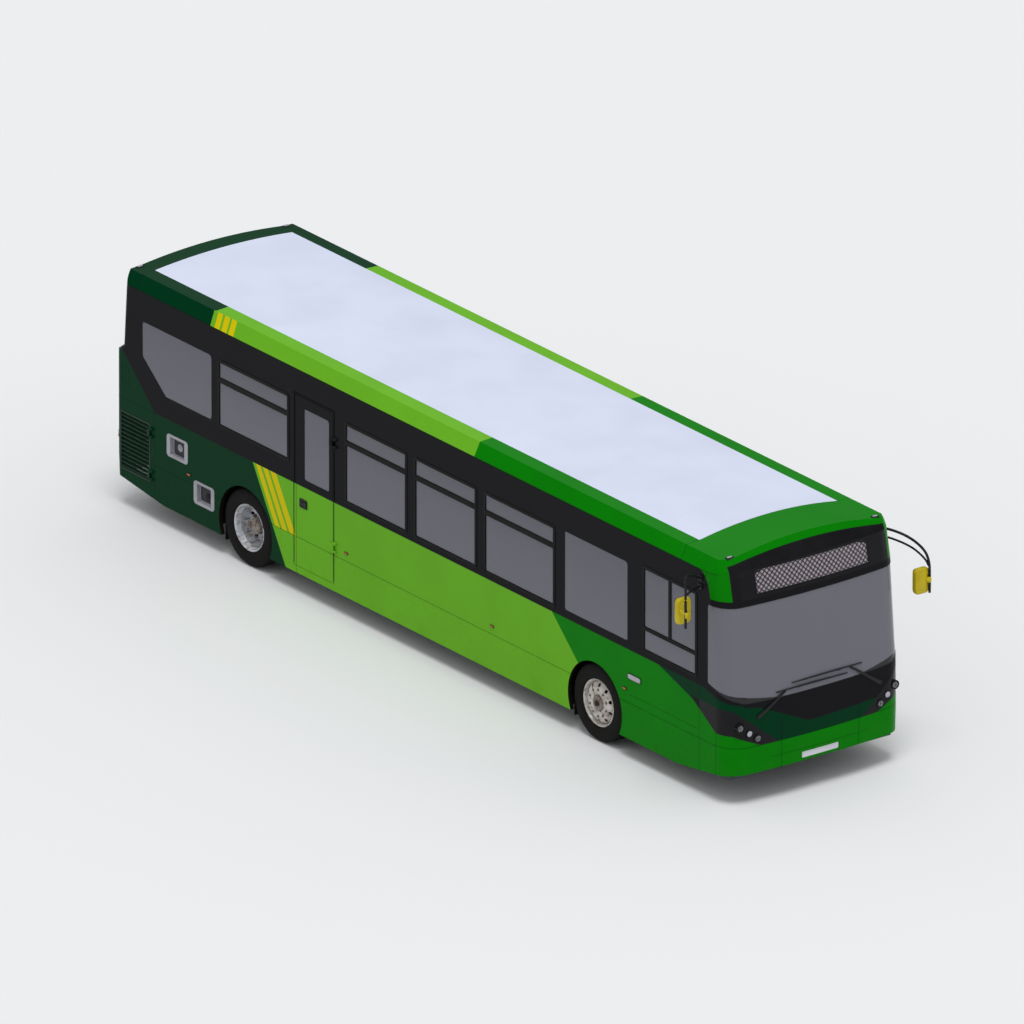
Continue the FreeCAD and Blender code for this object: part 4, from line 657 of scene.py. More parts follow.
def seam_mask(x, y, z, out, top, at_front, swoosh):
    """The thin dark joints between panels."""
    low_side, offside = z < waist, y < -panel_half
    flap = within(x, *flap_span) & within(z, *flap_levels)
    flap_inside = [within(value, low + 0.006, high - 0.006)
                   for value, (low, high) in ((x, flap_span), (z, flap_levels))]
    return any_of([
        at_line(z, crease_level) & low_side & (x < nose_joint) & (out > panel_half),
        at_line(z, side_joint_level, 0.0025) & within(x, 3.93, 5.23),
        at_line(x, cab_joint) & low_side,
        at_line(x, nose_joint) & (z < 0.89),
        at_line(x, rear_joint) & low_side,
        at_line(z, waist, 0.0025) & (x < band_rear_line[0]),
        at_line(x, exit_joint) & offside & low_side,
        flap & ~(flap_inside[0] & flap_inside[1]) & offside,
        at_line(z, band_top) & (out > panel_half),
        at_line(out, bumper_joint_out) & at_front & (z < 1.0) & ~swoosh,
        at_line(z, front_joint_level) & at_front,
        at_line(z, plate_joint_level, 0.0025) & at_front & (out < 0.7),
        (at_line(x, roof_ends[0]) | at_line(x, roof_ends[1])) & top,
    ])


def inward_mask(x, y, z, nx, ny, nz, out):
    """The panels' inner faces: grey trim on the real bus."""
    sides = ((ny * y) < -0.55) & (out < 1.235)
    ceiling = (nz < -0.6) & (z > 1.5)
    ends = ((nx * x) < -2.8) & (abs(x) > 5.0) & (out < 1.19)
    return sides | ceiling | ends


print("seams and bands ready")


# %% Body paint
def body_paint(name):
    finish = Finish(name, "#15750F", specular_ior_level=0.035, coat_weight=0.01,
                    coat_roughness=0.1)
    x, y, z = finish.place()
    nx, ny, nz = finish.facing()
    out = abs(y)
    top, upward, at_front = z > band_top + 0.001, nz > 0.72, x > front_start
    dark, mid, stripes = green_masks(x, z, out, top, upward)
    rear_drop = finish.smooth(0.0 - x, 5.62, 5.75) * 0.06
    black, tip, swoosh = black_masks(x, y, z, out, top, at_front, rear_drop)
    white = (out < roof_half) & within(x, *roof_ends) & (z > roof_level)
    seam = seam_mask(x, y, z, out, top, at_front, swoosh)
    dust = finish.smooth(0.75 - z, 0.0, 0.5) * finish.patches(5.0, 5.0, 0.45, 0.75)
    arches = any_of([squared(x - centre) + squared(z - arch_level) < arch_reach ** 2
                     for centre in arch_centres])
    finish.set("Base Color", finish.layers(
        light_green,
        (dark, dark_green),
        (mid, mid_green),
        (stripes, stripe_yellow),
        (dash_mask(x, z, out, at_front), dark_green),
        (white, roof_white),
        (black | tip, band_black),
        (exit_joint_mask(x, y, z), joint_black),
        # Faces that point up are painted a little lighter: a painted highlight of the light from
        # above.
        (upward * 0.015, "#E8F0E0"),
        (dust * 0.07, road_dust),
        (finish.patches(1.3, 3.0, 0.3, 0.8) * 0.07, "#000000"),
        (seam * 0.85, seam_shade),
        (inward_mask(x, y, z, nx, ny, nz, out), trim_grey),
        # The wheel arches' inner faces are painted near black.
        (arches & (abs(ny) < 0.7), arch_near_black),
    ))
    finish.set("Roughness", 0.27 + dust * 0.4 + black * 0.1 + white * 0.15 + seam * 0.3)
    ripple = finish.noise(0.8, 1.0) * 0.6 + finish.noise(160.0, 1.0) * 0.004
    finish.bump(ripple - seam * 0.5, 0.004, 0.35)
    return finish


def dress(finish, *nodes):
    """Gives the finish to solid pieces that keep their own shape."""
    for node in nodes:
        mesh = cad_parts[node].data
        mesh.materials.clear()
        mesh.materials.append(finish.material)


paint = body_paint("body_paint")
painted = ["side_right", "side_left", "roof", "front_mask", "front_bumper", "front_dome",
           "rear_lower", "rear_upper", "rear_bumper", "engine_cover", "emergency_door"]
dress(paint, *painted)
print("painted panels:", len(painted))

# %% [markdown]
# ## Plastics, rubber, metal and glass
#
# Nothing on a bus is one flat colour. Moulded plastic has a fine grain, rubber is
# greyer where it is rubbed, cast metal is rough and dusty, and satin metal is brushed.
# Each finish below is a base colour, a slow variation and a fine bump at the real
# scale of its grain.


# %% Plain finishes
def grained(name, colour, worn, grain, depth, roughness, patch=3.0, **plain):
    """A finish with slow patches of a second colour and a fine grain."""
    finish = Finish(name, colour, roughness=roughness, **{"specular_ior_level": 0.25, **plain})
    patches = finish.patches(patch, 4.0, 0.35, 0.75)
    finish.set("Base Color", finish.blend(patches, colour, worn))
    finish.set("Roughness", roughness + patches * 0.12)
    finish.bump(finish.noise(grain, 3.0), depth, 0.5)
    return finish


black_plastic = grained("black_plastic", "#151517", "#1D1D20", 900.0, 0.0006, 0.42)
gloss_black = grained("gloss_black", "#161618", "#1A1A1D", 200.0, 0.0001, 0.2,
                      specular_ior_level=0.1, coat_weight=0.04)
rubber = grained("rubber", "#0E0E10", "#1A1A1B", 500.0, 0.0008, 0.62)
frame_black = grained("frame_black", "#070709", "#0B0B0D", 350.0, 0.0003, 0.4,
                      specular_ior_level=0.1)
chassis_black = grained("chassis_black", "#1B1B1C", "#3A342B", 60.0, 0.003, 0.7, 6.0)
cast_metal = grained("cast_metal", "#3B3A38", "#5A4D3D", 90.0, 0.003, 0.65, 5.0, metallic=0.5)
satin_steel = grained("satin_steel", "#9A9B9E", "#86878A", 300.0, 0.0004, 0.3, metallic=0.9)
mirror_yellow = grained("mirror_yellow", "#C3B115", "#B3A010", 500.0, 0.0004, 0.38)
filler_grey = grained("filler_grey", "#A3A3AB", "#8E8E95", 300.0, 0.0005, 0.4)
# Dark grey for painted shade in the filler recesses.
filler_shade_grey = grained("filler_shade_grey", "#3A3A40", "#323238", 300.0, 0.0004, 0.5)
floor_vinyl = grained("floor_vinyl", "#3A3F45", "#464B50", 700.0, 0.0008, 0.55, 300.0)
rail_yellow = grained("rail_yellow", "#C9A312", "#B8940E", 260.0, 0.0006, 0.35)
dash_vinyl = grained("dash_vinyl", "#26282B", "#2F3134", 700.0, 0.0009, 0.55)
sign_grey = grained("sign_grey", "#303236", "#3A3C41", 300.0, 0.0004, 0.35)
mirror_glass = Finish("mirror_glass", "#C8CCD0", metallic=1.0, roughness=0.04)
amber_lens = grained("amber_lens", "#B65A12", "#9C4A0E", 260.0, 0.0004, 0.22, coat_weight=0.6)
red_lens = grained("red_lens", "#7E0C0E", "#5E0709", 260.0, 0.0004, 0.2, coat_weight=0.6)
grey_lens = grained("grey_lens", "#A9AAB2", "#8C8D96", 160.0, 0.0006, 0.2, coat_weight=0.5)
light_strip = grained("light_strip", "#E8E6DE", "#DAD8D0", 200.0, 0.0002, 0.4)
white_plate = grained("white_plate", "#D9D9E3", "#CBCBD6", 900.0, 0.0003, 0.3)
yellow_plate = grained("yellow_plate", "#C9A21C", "#B9941A", 900.0, 0.0003, 0.3)
grille_green = grained("grille_green", "#04301D", "#11301F", 120.0, 0.0006, 0.5, 5.0)
seat_shell = grained("seat_shell", "#20262C", "#2A3036", 500.0, 0.0008, 0.5)
piping_cloth = grained("piping_cloth", "#101A17", "#16211E", 900.0, 0.0004, 0.8)
print("finishes:", len(bpy.data.materials))

# %% [markdown]
# The wheel boxes are vinyl towards the seats and near black towards the wheels. A face looks
# at the wheel if it points down, outwards or at the axle.


# %% Wheel boxes
def wheel_box_vinyl():
    finish = grained("wheel_box_vinyl", "#3A3F45", "#464B50", 700.0, 0.0008, 0.55, 300.0)
    x, y, _ = finish.place()
    nx, ny, nz = finish.facing()
    to_wheel = any_of([(x - centre) * nx + (abs(x - centre) > 2.0) * 9.0 < 0.0
                       for centre in arch_centres])
    under = (nz < -0.5) | (ny * y > 0.0) | to_wheel
    # Faces towards the wheels are near black.
    finish.set("Base Color", finish.blend(under, "#3E4349", "#181512"))
    return finish


for finish, nodes in {
    black_plastic: ["cab_partition", "marker_lamps"],
    frame_black: ["window_frames_right", "window_frames_left", "door_leaf_rear",
                  "door_leaf_front"],
    gloss_black: ["destination_panel", "destination_sign", "headlamps", "tail_lamps"],
    satin_steel: ["door_arm_rear", "door_arm_front", "door_header"],
    paint: ["hinge_pins"],
    chassis_black: ["chassis_frame", "tow_sockets", "knuckle_left", "knuckle_right"],
    cast_metal: ["front_axle", "rear_axle", "engine_block"],
    rubber: ["mudflaps"],
    wheel_box_vinyl(): ["wheel_boxes"],
    floor_vinyl: ["floor"],
    rail_yellow: ["handrails"],
    dash_vinyl: ["dashboard", "steering_wheel"],
    filler_grey: ["filler_frames"],
    grille_green: ["grille_door"],
    seat_shell: ["passenger_seats", "driver_seat"],
}.items():
    dress(finish, *nodes)
print("materials:", len(bpy.data.materials))


# %% Glass
def privacy_glass(name, colour):
    """Dark glass with a slow ripple."""
    finish = Finish(name, colour, roughness=0.12, specular_ior_level=0.35)
    cloud = finish.noise(0.7, 2.0)
    finish.bump(cloud, 0.002, 0.2)
    return finish, cloud


side_tint, cloud = privacy_glass("side_tint", "#6E6E78")
upper = side_tint.smooth(side_tint.place()[2], 1.4, 2.5)
side_tint.set("Base Color", side_tint.blend(upper, "#6E6E78", "#64646E"))
side_tint.set("Alpha", 0.80 + cloud * 0.06)
dress(side_tint, "side_glass_right", "side_glass_left", "emergency_glass", "door_glass_rear",
      "door_glass_front", "rear_screen")

screen_tint, cloud = privacy_glass("screen_tint", "#74747E")
x, y, z = screen_tint.place()
frit = (z < screen_foot(x) + 0.012) & (abs(y) > 0.5)
screen_tint.set("Alpha", frit | 0.78)
screen_tint.set("Base Color", screen_tint.blend(frit, "#72727C", band_black))
dress(screen_tint, "windscreen")
print("glass ready")

# %% [markdown]
# ## Wheels
#
# A bus tyre has a rounded shoulder, straight grooves round the tread and a bead that
# seats on the rim. The plain solid is a block-edged ring, so a turned profile takes
# its place. The grooves are in the profile; the cuts across each shoulder are pressed
# in afterwards, every few degrees.

# %% Tyres
tyre_low, tyre_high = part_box("tyre_front_right")
tread_radius = (tyre_high.z - tyre_low.z) / 2
bead_radius = 0.2865
tyre_width = tyre_high.y - tyre_low.y
groove_depth = 0.011
groove_half = 0.005
groove_places = (-0.075, -0.026, 0.026, 0.075)
sipe_count = 60
sipe_depth = 0.006
tyre_steps = 240
twin_pitch = 0.312


def tyre_profile():
    half = tyre_width / 2
    side = [(bead_radius, half - 0.034), (bead_radius + 0.004, half - 0.018),
            (0.305, half - 0.009), (0.312, half - 0.006), (0.345, half - 0.0015), (0.385, half),
            (0.392, half - 0.002), (0.400, half - 0.0005), (0.430, half - 0.006),
            (0.447, half - 0.013), (tread_radius - 0.010, half - 0.021),
            (tread_radius - 0.003, half - 0.030), (tread_radius - 0.0005, half - 0.040)]
    tread = []
    for place in groove_places:
        high = tread_radius - 0.0012 * (place / half) ** 2
        for offset, drop in ((-1.0, 0.0), (-0.6, groove_depth), (0.6, groove_depth), (1.0, 0.0)):
            tread.append((high - drop, place + offset * groove_half))
    inside = [(bead_radius, -half + 0.050), (bead_radius, half - 0.050)]
    return side + tread[::-1] + [(r, -y) for r, y in side[::-1]] + inside


def tyre_rubber():
    finish = Finish("tyre_rubber", "#141415", roughness=0.75, specular_ior_level=0.12)
    dirt = finish.patches(9.0, 5.0, 0.4, 0.75)
    finish.set("Base Color", finish.blend(dirt * 0.6, "#131313", "#24211C"))
    finish.set("Roughness", 0.68 + dirt * 0.2)
    finish.bump(finish.noise(220.0, 3.0), 0.0008, 0.5)
    return finish


def tyre(name, centres, body, finish):
    shape = Shape()
    profile = tyre_profile()
    for centre in centres:
        start = len(shape.verts)
        shape.turned(profile, centre, (0, 1, 0), tyre_steps, closed=True)
        for index in range(start, len(shape.verts)):
            step = ((index - start) // len(profile)) % (tyre_steps // sipe_count)
            offset = shape.verts[index] - centre
            radius = math.hypot(offset.x, offset.z)
            if step == 0 and radius > tread_radius - sipe_depth and abs(offset.y) > 0.085:
                shrink = (radius - sipe_depth) / radius
                shape.verts[index] = centre + Vector(
                    (offset.x * shrink, offset.y, offset.z * shrink))
    return shape.make(name, finish, body, smooth=35.0, replaces=(name,))


tyre_finish = tyre_rubber()
wheels = {}
for place in ("front_right", "front_left", "rear_right", "rear_left"):
    low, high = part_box("tyre_" + place)
    side = -1 if "right" in place else 1
    outer = Vector(((low.x + high.x) / 2, 0, (low.z + high.z) / 2))
    outer.y = side * (max(abs(low.y), abs(high.y)) - tyre_width / 2)
    wheels[place] = (outer, side)
    inner = [outer - Vector((0, side * twin_pitch, 0))] if "rear" in place else []
    made = tyre("tyre_" + place, [outer] + inner, "wheel_" + place, tyre_finish)
print("tyre faces:", len(made.data.polygons))

# %% [markdown]
# The rims are pressed steel. The front ones bulge outwards round the hub; the rear
# ones are the same pressing turned about, so they are deep bowls with the axle's end
# in the middle. Both have a rolled edge, round hand holes in the disc and ten studs
# with nuts. A hole can't be turned, so the disc is made of sectors, each with its
# hole cut by a grid of points that bends round it.


# %% Metal of the rims
def rim_metal(name, colour, worn, rust_share):
    finish = Finish(name, colour, roughness=0.4, metallic=0.55)
    dirt = finish.patches(14.0, 6.0, 0.42, 0.72)
    rust = finish.patches(28.0, 5.0, 0.62 - 0.2 * rust_share, 0.8)
    finish.set("Base Color", finish.layers(colour, (dirt * 0.7, worn), (rust, "#5B3520")))
    finish.set("Roughness", 0.36 + dirt * 0.3 + rust * 0.2)
    finish.set("Metallic", 0.25 - dirt * 0.2)
    finish.bump(finish.noise(180.0, 4.0), 0.0008, 0.5)
    return finish


front_rim_metal = rim_metal("front_rim_metal", "#C9C5C0", "#8E7F70", 0.40)
rear_rim_metal = rim_metal("rear_rim_metal", "#CDD2DA", "#8A7460", 0.50)
nut_steel = rim_metal("nut_steel", "#8C857B", "#5A4433", 0.75)

flange = 0.2855
stud_circle = 0.1675
stud_count = 10
hole_count = 10
hole_circle = 0.215
hole_radius = 0.022
hole_steps = 16
hole_rings = 6
sector_low, sector_high = hole_circle - 0.036, hole_circle + 0.036
print("hand holes:", hole_count, "of", 2000 * hole_radius, "mm")


# %% Skins, sectors and nuts
def height_at(profile, radius):
    """Offset on a (radius, offset) profile at one radius."""
    for (r0, a), (r1, b) in zip(profile, profile[1:]):
        if min(r0, r1) <= radius <= max(r0, r1) and r0 != r1:
            return a + (b - a) * (radius - r0) / (r1 - r0)
    return profile[-1][1]


def on_wheel(wheel, radius, along, angle):
    """A point by its distance from a wheel's axis, its place along it and its angle."""
    centre, side = wheel
    return Vector((centre.x + radius * math.cos(angle), centre.y + side * along,
                   centre.z + radius * math.sin(angle)))


def skin(shape, profile, wheel, steps=96):
    """A thin turned skin with no end caps, from (radius, along) pairs."""
    verts = [on_wheel(wheel, radius, along, 2 * math.pi * i / steps)
             for i in range(steps) for radius, along in profile]
    shape.add(verts, quads(steps, len(profile), points_close=False))


def disc_sector(shape, wheel, start, profile):
    """One sector of the wheel's disc with a round hand hole through it."""
    half_width = math.pi / hole_count
    grid = []
    for ring in range(hole_rings):
        t = ring / (hole_rings - 1)
        row = []
        for i in range(hole_steps):
            share = 2 * math.pi * i / hole_steps
            square = max(abs(math.cos(share)), abs(math.sin(share)))
            hole_r = hole_circle + hole_radius * math.cos(share)
            hole_a = start + half_width + hole_radius * math.sin(share) / hole_circle
            edge_r = hole_circle + (sector_high - hole_circle) * math.cos(share) / square
            edge_a = start + half_width + half_width * math.sin(share) / square
            radius = hole_r + (edge_r - hole_r) * t
            row.append(on_wheel(wheel, radius, height_at(profile, radius),
                                hole_a + (edge_a - hole_a) * t))
        grid.append(row)
    shape.add([v for row in grid for v in row], quads(hole_rings, hole_steps, rings_close=False))
    inner = [v - Vector((0, wheel[1] * 0.010, 0)) for v in grid[0]]
    shape.add(grid[0] + inner, quads(2, hole_steps, rings_close=False))


def nuts(shape, wheel, radius, along, count, size, height):
    """Ring of hexagonal nuts on washers, each with its stud's end."""
    for i in range(count):
        spot = on_wheel(wheel, radius, along, 2 * math.pi * (i + 0.5) / count)
        for profile, steps in (
                ([(1.25, 0), (1.25, 0.2), (None, 0.2)], 16),
                ([(1, 0), (1, 0.85), (0.8, 1), (None, 1)], 6),
                ([(0.5, 0), (0.5, 1.35), (None, 1.4)], 10)):
            shape.turned([(size * r if r else 0.001, height * a) for r, a in profile],
                         spot, (0, wheel[1], 0), steps)


print("a sector is", 360 / hole_count, "degrees wide")


# %% One wheel's metal
def wheel_rim(place, metal, barrel, dish, back, hubs, nut_rings):
    """Rim, hub and nuts of one wheel. The back is the skin of the inner twin."""
    wheel = centre, side = wheels[place]
    shape, hub, ring = shapes(3)
    skin(shape, barrel, wheel)
    for i in range(hole_count):
        disc_sector(shape, wheel, 2 * math.pi * i / hole_count, dish)
    skin(shape, [p for p in dish if p[0] > sector_high]
         + [(sector_high, height_at(dish, sector_high))], wheel)
    skin(shape, [(sector_low, height_at(dish, sector_low))]
         + [p for p in dish if p[0] < sector_low], wheel)
    if back:
        skin(shape, back, (centre - Vector((0, side * twin_pitch, 0)), side))
    for along, steps, profile in hubs:
        hub.turned(profile, centre + Vector((0, side * along, 0)), (0, side, 0), steps)
    for settings in nut_rings:
        nuts(ring, wheel, *settings)
    body = "wheel_" + place
    rim = shape.make("rim_" + place, metal, body, smooth=50.0, replaces=("rim_" + place,))
    hub.make("hub_" + place, nut_steel, body, smooth=30.0)
    ring.make("nuts_" + place, nut_steel, body, smooth=30.0)
    return rim


# %% Rims, hubs and nuts
front_barrel = [(flange - 0.003, -0.121), (flange, -0.112), (flange - 0.012, -0.100),
                (0.262, -0.08), (0.252, -0.02), (0.252, 0.02), (0.262, 0.085),
                (flange - 0.012, 0.104), (flange - 0.002, 0.110), (flange, 0.117),
                (flange - 0.006, 0.1225), (flange - 0.013, 0.120), (flange - 0.020, 0.107),
                (0.258, 0.086), (0.248, 0.050), (0.246, 0.0), (0.246, -0.1)]
front_dish = [(flange - 0.036, 0.045), (0.262, 0.055), (0.251, 0.072), (0.235, 0.094),
              (0.200, 0.118), (0.186, 0.122), (0.140, 0.122), (0.128, 0.118), (0.100, 0.118)]
front_hub = [(0.108, 0.0), (0.108, 0.012), (0.100, 0.017), (0.086, 0.020), (0.083, 0.031),
             (0.076, 0.0335), (0.058, 0.0345), (0.055, 0.030), (0.001, 0.028)]
rear_barrel = [(flange - 0.003, -0.119), (flange, -0.112), (flange - 0.012, -0.100),
               (0.264, -0.08), (0.256, -0.02), (0.258, 0.05), (flange - 0.012, 0.100),
               (flange, 0.110), (flange, 0.116), (flange - 0.006, 0.1215),
               (flange - 0.013, 0.119), (flange - 0.020, 0.105), (0.262, 0.078), (0.250, 0.050)]
rear_dish = [(0.250, 0.050), (0.246, 0.000), (0.238, -0.055), (0.225, -0.085), (0.200, -0.100),
             (0.186, -0.104), (0.140, -0.104), (0.105, -0.104)]
twin_back = [(flange - 0.013, -0.119), (flange, -0.112), (flange - 0.012, -0.100),
             (0.258, -0.05), (0.256, 0.05), (0.264, 0.08), (flange, 0.112), (flange, 0.117),
             (0.262, 0.105), (0.240, 0.104), (0.110, 0.104)]
rear_hub = [(0.118, 0.0), (0.118, 0.030), (0.112, 0.040), (0.104, 0.046), (0.100, 0.130),
            (0.094, 0.142), (0.080, 0.148), (0.060, 0.150), (0.055, 0.146), (0.001, 0.144)]
rear_hub_core = [(0.10, -0.1), (0.10, 0.0), (0.001, 0.0)]

for place in wheels:
    if "front" in place:
        rim = wheel_rim(place, front_rim_metal, front_barrel, front_dish, None,
                        [(0.1035, 64, front_hub)],
                        [(stud_circle - 0.006, 0.1215, stud_count, 0.0145, 0.0135),
                         (0.092, 0.1215, 8, 0.006, 0.006)])
    else:
        rim = wheel_rim(place, rear_rim_metal, rear_barrel, rear_dish, twin_back,
                        [(-0.104, 64, rear_hub), (-0.104, 48, rear_hub_core)],
                        [(stud_circle, -0.104, stud_count, 0.016, 0.030),
                         (0.078, 0.042, 8, 0.007, 0.008)])
print("rim faces:", len(rim.data.polygons))

# %% [markdown]
# ## Lamps
#
# Each headlamp is a black barrel with a lens at its end: a dark bowl with a bulb cap
# behind clear glass for the outer and inner ones, and a plain pale lens in the middle.
# Fittings that sit on a curved panel are placed by sending a ray to it, so they touch
# it wherever they are.


# %% Placing on the skin
def touch(nodes, start, direction):
    """Where a ray first meets one of the solid pieces, and which way it faces there."""
    best, start = None, Vector(start)
    for node in nodes:
        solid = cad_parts[node]
        inverse = solid.matrix_world.inverted()
        run = (inverse.to_3x3() @ Vector(direction)).normalized()
        hit, spot, normal, _ = solid.ray_cast(inverse @ start, run)
        if hit:
            spot = solid.matrix_world @ spot
            reach = (spot - start).length
            if best is None or reach < best[0]:
                best = (reach, spot, (solid.matrix_world.to_3x3() @ normal).normalized())
    return best[1], best[2]


outside = 8.0
ahead = (1, 0, 0)
front_skin = ["front_mask", "front_bumper", "front_dome", "destination_panel", "windscreen",
              "headlamps"]
rear_skin = ["rear_lower", "rear_upper", "rear_bumper", "rear_screen", "engine_cover"]


def front_at(y, z, proud=0.0, nodes=front_skin):
    """Point on the front of the bus, or proud of it along the surface's direction."""
    spot, normal = touch(nodes, (outside, y, z), (-1, 0, 0))
    return spot + normal * proud


def rear_at(y, z, nodes=rear_skin):
    """Point on the rear of the bus, and which way it faces there."""
    return touch(nodes, (-outside, y, z), (1, 0, 0))


def side_at(x, z, nodes, side=-1):
    """Point on one side of the bus, and which way it faces there."""
    return touch(nodes, (x, side * outside, z), (0, -side, 0))


def forward(distance):
    return Vector((distance, 0, 0))


def rounded_spot(spot):
    return tuple(round(c, 3) for c in spot)


print("front of the bus at x", round(front_at(0.0, 1.0).x, 3))

# %% Headlamps
clear_lens = Finish("clear_lens", "#DDE0E4", roughness=0.03, alpha=0.10)
clear_lens.set("Base Color", clear_lens.blend(clear_lens.noise(40.0), "#D4D8DD", "#E6E8EB"))
clear_lens.bump(clear_lens.noise(25.0), 0.0006, 0.3)
lamp_places = [(1.105, 0.959), (0.986, 0.874), (0.875, 0.794)]
lamp_radius = 0.052

barrels, bowls, lenses, bulbs, lamp_rings, middle_lens = shapes(6)
for side in (-1, 1):
    for index, (y, z) in enumerate(lamp_places):
        spot = front_at(side * y, z, 0.0, ["headlamps"])
        if index == 1:
            barrels.turned([(0.046, -0.03), (0.049, 0.008), (0.046, 0.011), (0.038, 0.010),
                            (0.037, 0.001)], spot, ahead, 48, closed=True)
            middle_lens.turned([(0.0375, 0.001), (0.037, 0.007), (0.030, 0.0105),
                                (0.015, 0.0125), (0.0005, 0.013)], spot, ahead, 40)
            continue
        barrels.turned([(lamp_radius, -0.03), (lamp_radius + 0.004, -0.012),
                        (lamp_radius + 0.004, 0.009), (lamp_radius, 0.013),
                        (lamp_radius - 0.016, 0.012), (lamp_radius - 0.019, 0.007),
                        (lamp_radius - 0.020, 0.001)], spot, ahead, 48, closed=True)
        bowls.turned([(0.033, 0.009), (0.030, 0.0055), (0.025, 0.0032), (0.018, 0.0015),
                      (0.0005, 0.001)], spot, ahead, 40)
        lamp_rings.turned([(0.034, 0.0060), (0.033, 0.0092), (0.0270, 0.0085),
                           (0.0260, 0.0040)], spot, ahead, 48, closed=True)
        bulbs.turned([(0.0185, 0.001), (0.0185, 0.008), (0.014, 0.0105), (0.004, 0.0112),
                      (0.0005, 0.0114)], spot, ahead, 24)
        lenses.turned([(0.0335, 0.0105), (0.028, 0.0126), (0.016, 0.0142), (0.0005, 0.0148)],
                      spot, ahead, 40)
barrels.make("lamp_barrels", gloss_black, smooth=35.0)
bowls.make("lamp_bowls", gloss_black, smooth=60.0)
lamp_rings.make("lamp_rings", grey_lens, smooth=60.0)
bulbs.make("lamp_bulb_caps", gloss_black, smooth=50.0)
lenses.make("lamp_lenses", clear_lens, smooth=60.0)
middle_lens.make("dip_lenses", grey_lens, smooth=60.0)
print("headlamps at", [rounded_spot(front_at(-y, z)) for y, z in lamp_places])

# %% Tail lamps
tail_out, tail_levels = 1.04, [0.78 + 0.13 * i for i in range(4)]
tail_kinds = ["grey_lens", "red_lens", "amber_lens", "red_lens"]
tail_lenses = {"red_lens": Shape(), "amber_lens": Shape(), "grey_lens": Shape()}
tail_rings = Shape()
for side in (-1, 1):
    for z, kind in zip(tail_levels, tail_kinds):
        spot, normal = rear_at(side * tail_out, z, ["tail_lamps"])
        tail_rings.turned([(0.0505, -0.010), (0.0505, 0.004), (0.048, 0.007), (0.0445, 0.006),
                           (0.043, 0.0)], spot, normal, 48, closed=True)
        tail_lenses[kind].turned([(0.0435, -0.002), (0.0435, 0.004), (0.040, 0.0065),
                                  (0.033, 0.0075), (0.032, 0.0068), (0.024, 0.0085),
                                  (0.023, 0.0078), (0.012, 0.0092), (0.0005, 0.0095)],
                                 spot, normal, 40)
tail_rings.make("tail_lamp_rings", gloss_black)
for kind, finish in (("red_lens", red_lens), ("amber_lens", amber_lens), ("grey_lens", grey_lens)):
    tail_lenses[kind].make("tail_" + kind, finish, smooth=60.0)
print("tail lamps:", 2 * len(tail_levels))

# %% Roof corner lamps
corner_lamps = ((5.536, 1.037), (-5.653, 1.05))
above_roof = 3.2
corner_bases, corner_lenses = shapes(2)
for side in (-1, 1):
    for x, y in corner_lamps:
        spot, normal = touch(["front_dome", "rear_upper", "roof"], (x, side * y, above_roof),
                             (0, 0, -1))
        turn = Vector((0, 0, 1)).rotation_difference(normal)
        corner_bases.soft(spot, (0.055, 0.105, 0.020), 5.0, turn=turn)
        corner_lenses.soft(spot + normal * 0.008, (0.034, 0.070, 0.018), 4.0, turn=turn)
corner_bases.make("corner_lamp_bases", black_plastic, smooth=60.0)
corner_lenses.make("corner_lamp_lenses", grey_lens, smooth=60.0)
print("corner lamps:", 2 * len(corner_lamps))


# %% Side lamps
def parts_of(node):
    """Lowest and highest corners of each loose part of a solid piece."""
    form = bmesh.new()
    form.from_mesh(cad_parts[node].data)
    bmesh.ops.remove_doubles(form, verts=form.verts, dist=1e-6)
    left, boxes = set(form.verts), []
    while left:
        found = [left.pop()]
        for vert in found:
            near = {edge.other_vert(vert) for edge in vert.link_edges} & left
            left -= near
            found += near
        corners = [[pick(v.co[i] for v in found) for i in range(3)] for pick in (min, max)]
        boxes.append((Vector(corners[0]), Vector(corners[1])))
    form.free()
    return sorted(boxes, key=lambda box: tuple(box[0]))


markers, repeaters = shapes(2)
for low, high in parts_of("marker_lamps"):
    centre, size = (low + high) / 2, high - low
    centre.y += math.copysign(0.002, centre.y)
    shape = markers if size.x < 0.1 else repeaters
    shape.soft(centre, (size.x - 0.012, size.y + 0.002, size.z - 0.010), 5.0)
    for x in spread(centre.x - size.x * 0.36, centre.x + size.x * 0.36, 5):
        shape.soft((x, centre.y + math.copysign(0.0045, centre.y), centre.z),
                   (size.x * 0.10, 0.004, size.z * 0.52), 3.0, 6, 12)
markers.make("marker_lenses", amber_lens, smooth=60.0)
repeaters.make("repeater_lens", grey_lens, smooth=60.0)
print("side lamps:", len(parts_of("marker_lamps")))

# %% [markdown]
# ## Destination sign, plates and screen edge
#
# The sign is a matrix of small round lights behind the black dome panel. Its face is
# bent to the panel, and its lights are a pattern in the finish: two grids of dots, one
# shifted by half a step, as on the real sign. The plates are blank.

# %% Destination sign
sign_half, sign_low, sign_high = 0.797, 2.503, 2.777
sign_columns = 25
sign_pitch = 0.066
dot_edge = 0.42
panel_skin = ["destination_panel", "front_dome"]
panel_edges = (2.485, 2.795)


def sign_face(depth, inset):
    """Grid of points on the panel's own curve, pushed in by depth."""
    low, high, half = sign_low + inset, sign_high - inset, sign_half - inset
    grid = []
    for z in (low, (low + high) / 2, high):
        row = []
        for y in spread(-half, half, sign_columns):
            under, above = [front_at(y, edge, 0.0, panel_skin) for edge in panel_edges]
            spot = under.lerp(above, (z - under.z) / (above.z - under.z))
            row.append(spot - Vector((depth, 0, 0)))
        grid.append(row)
    return grid


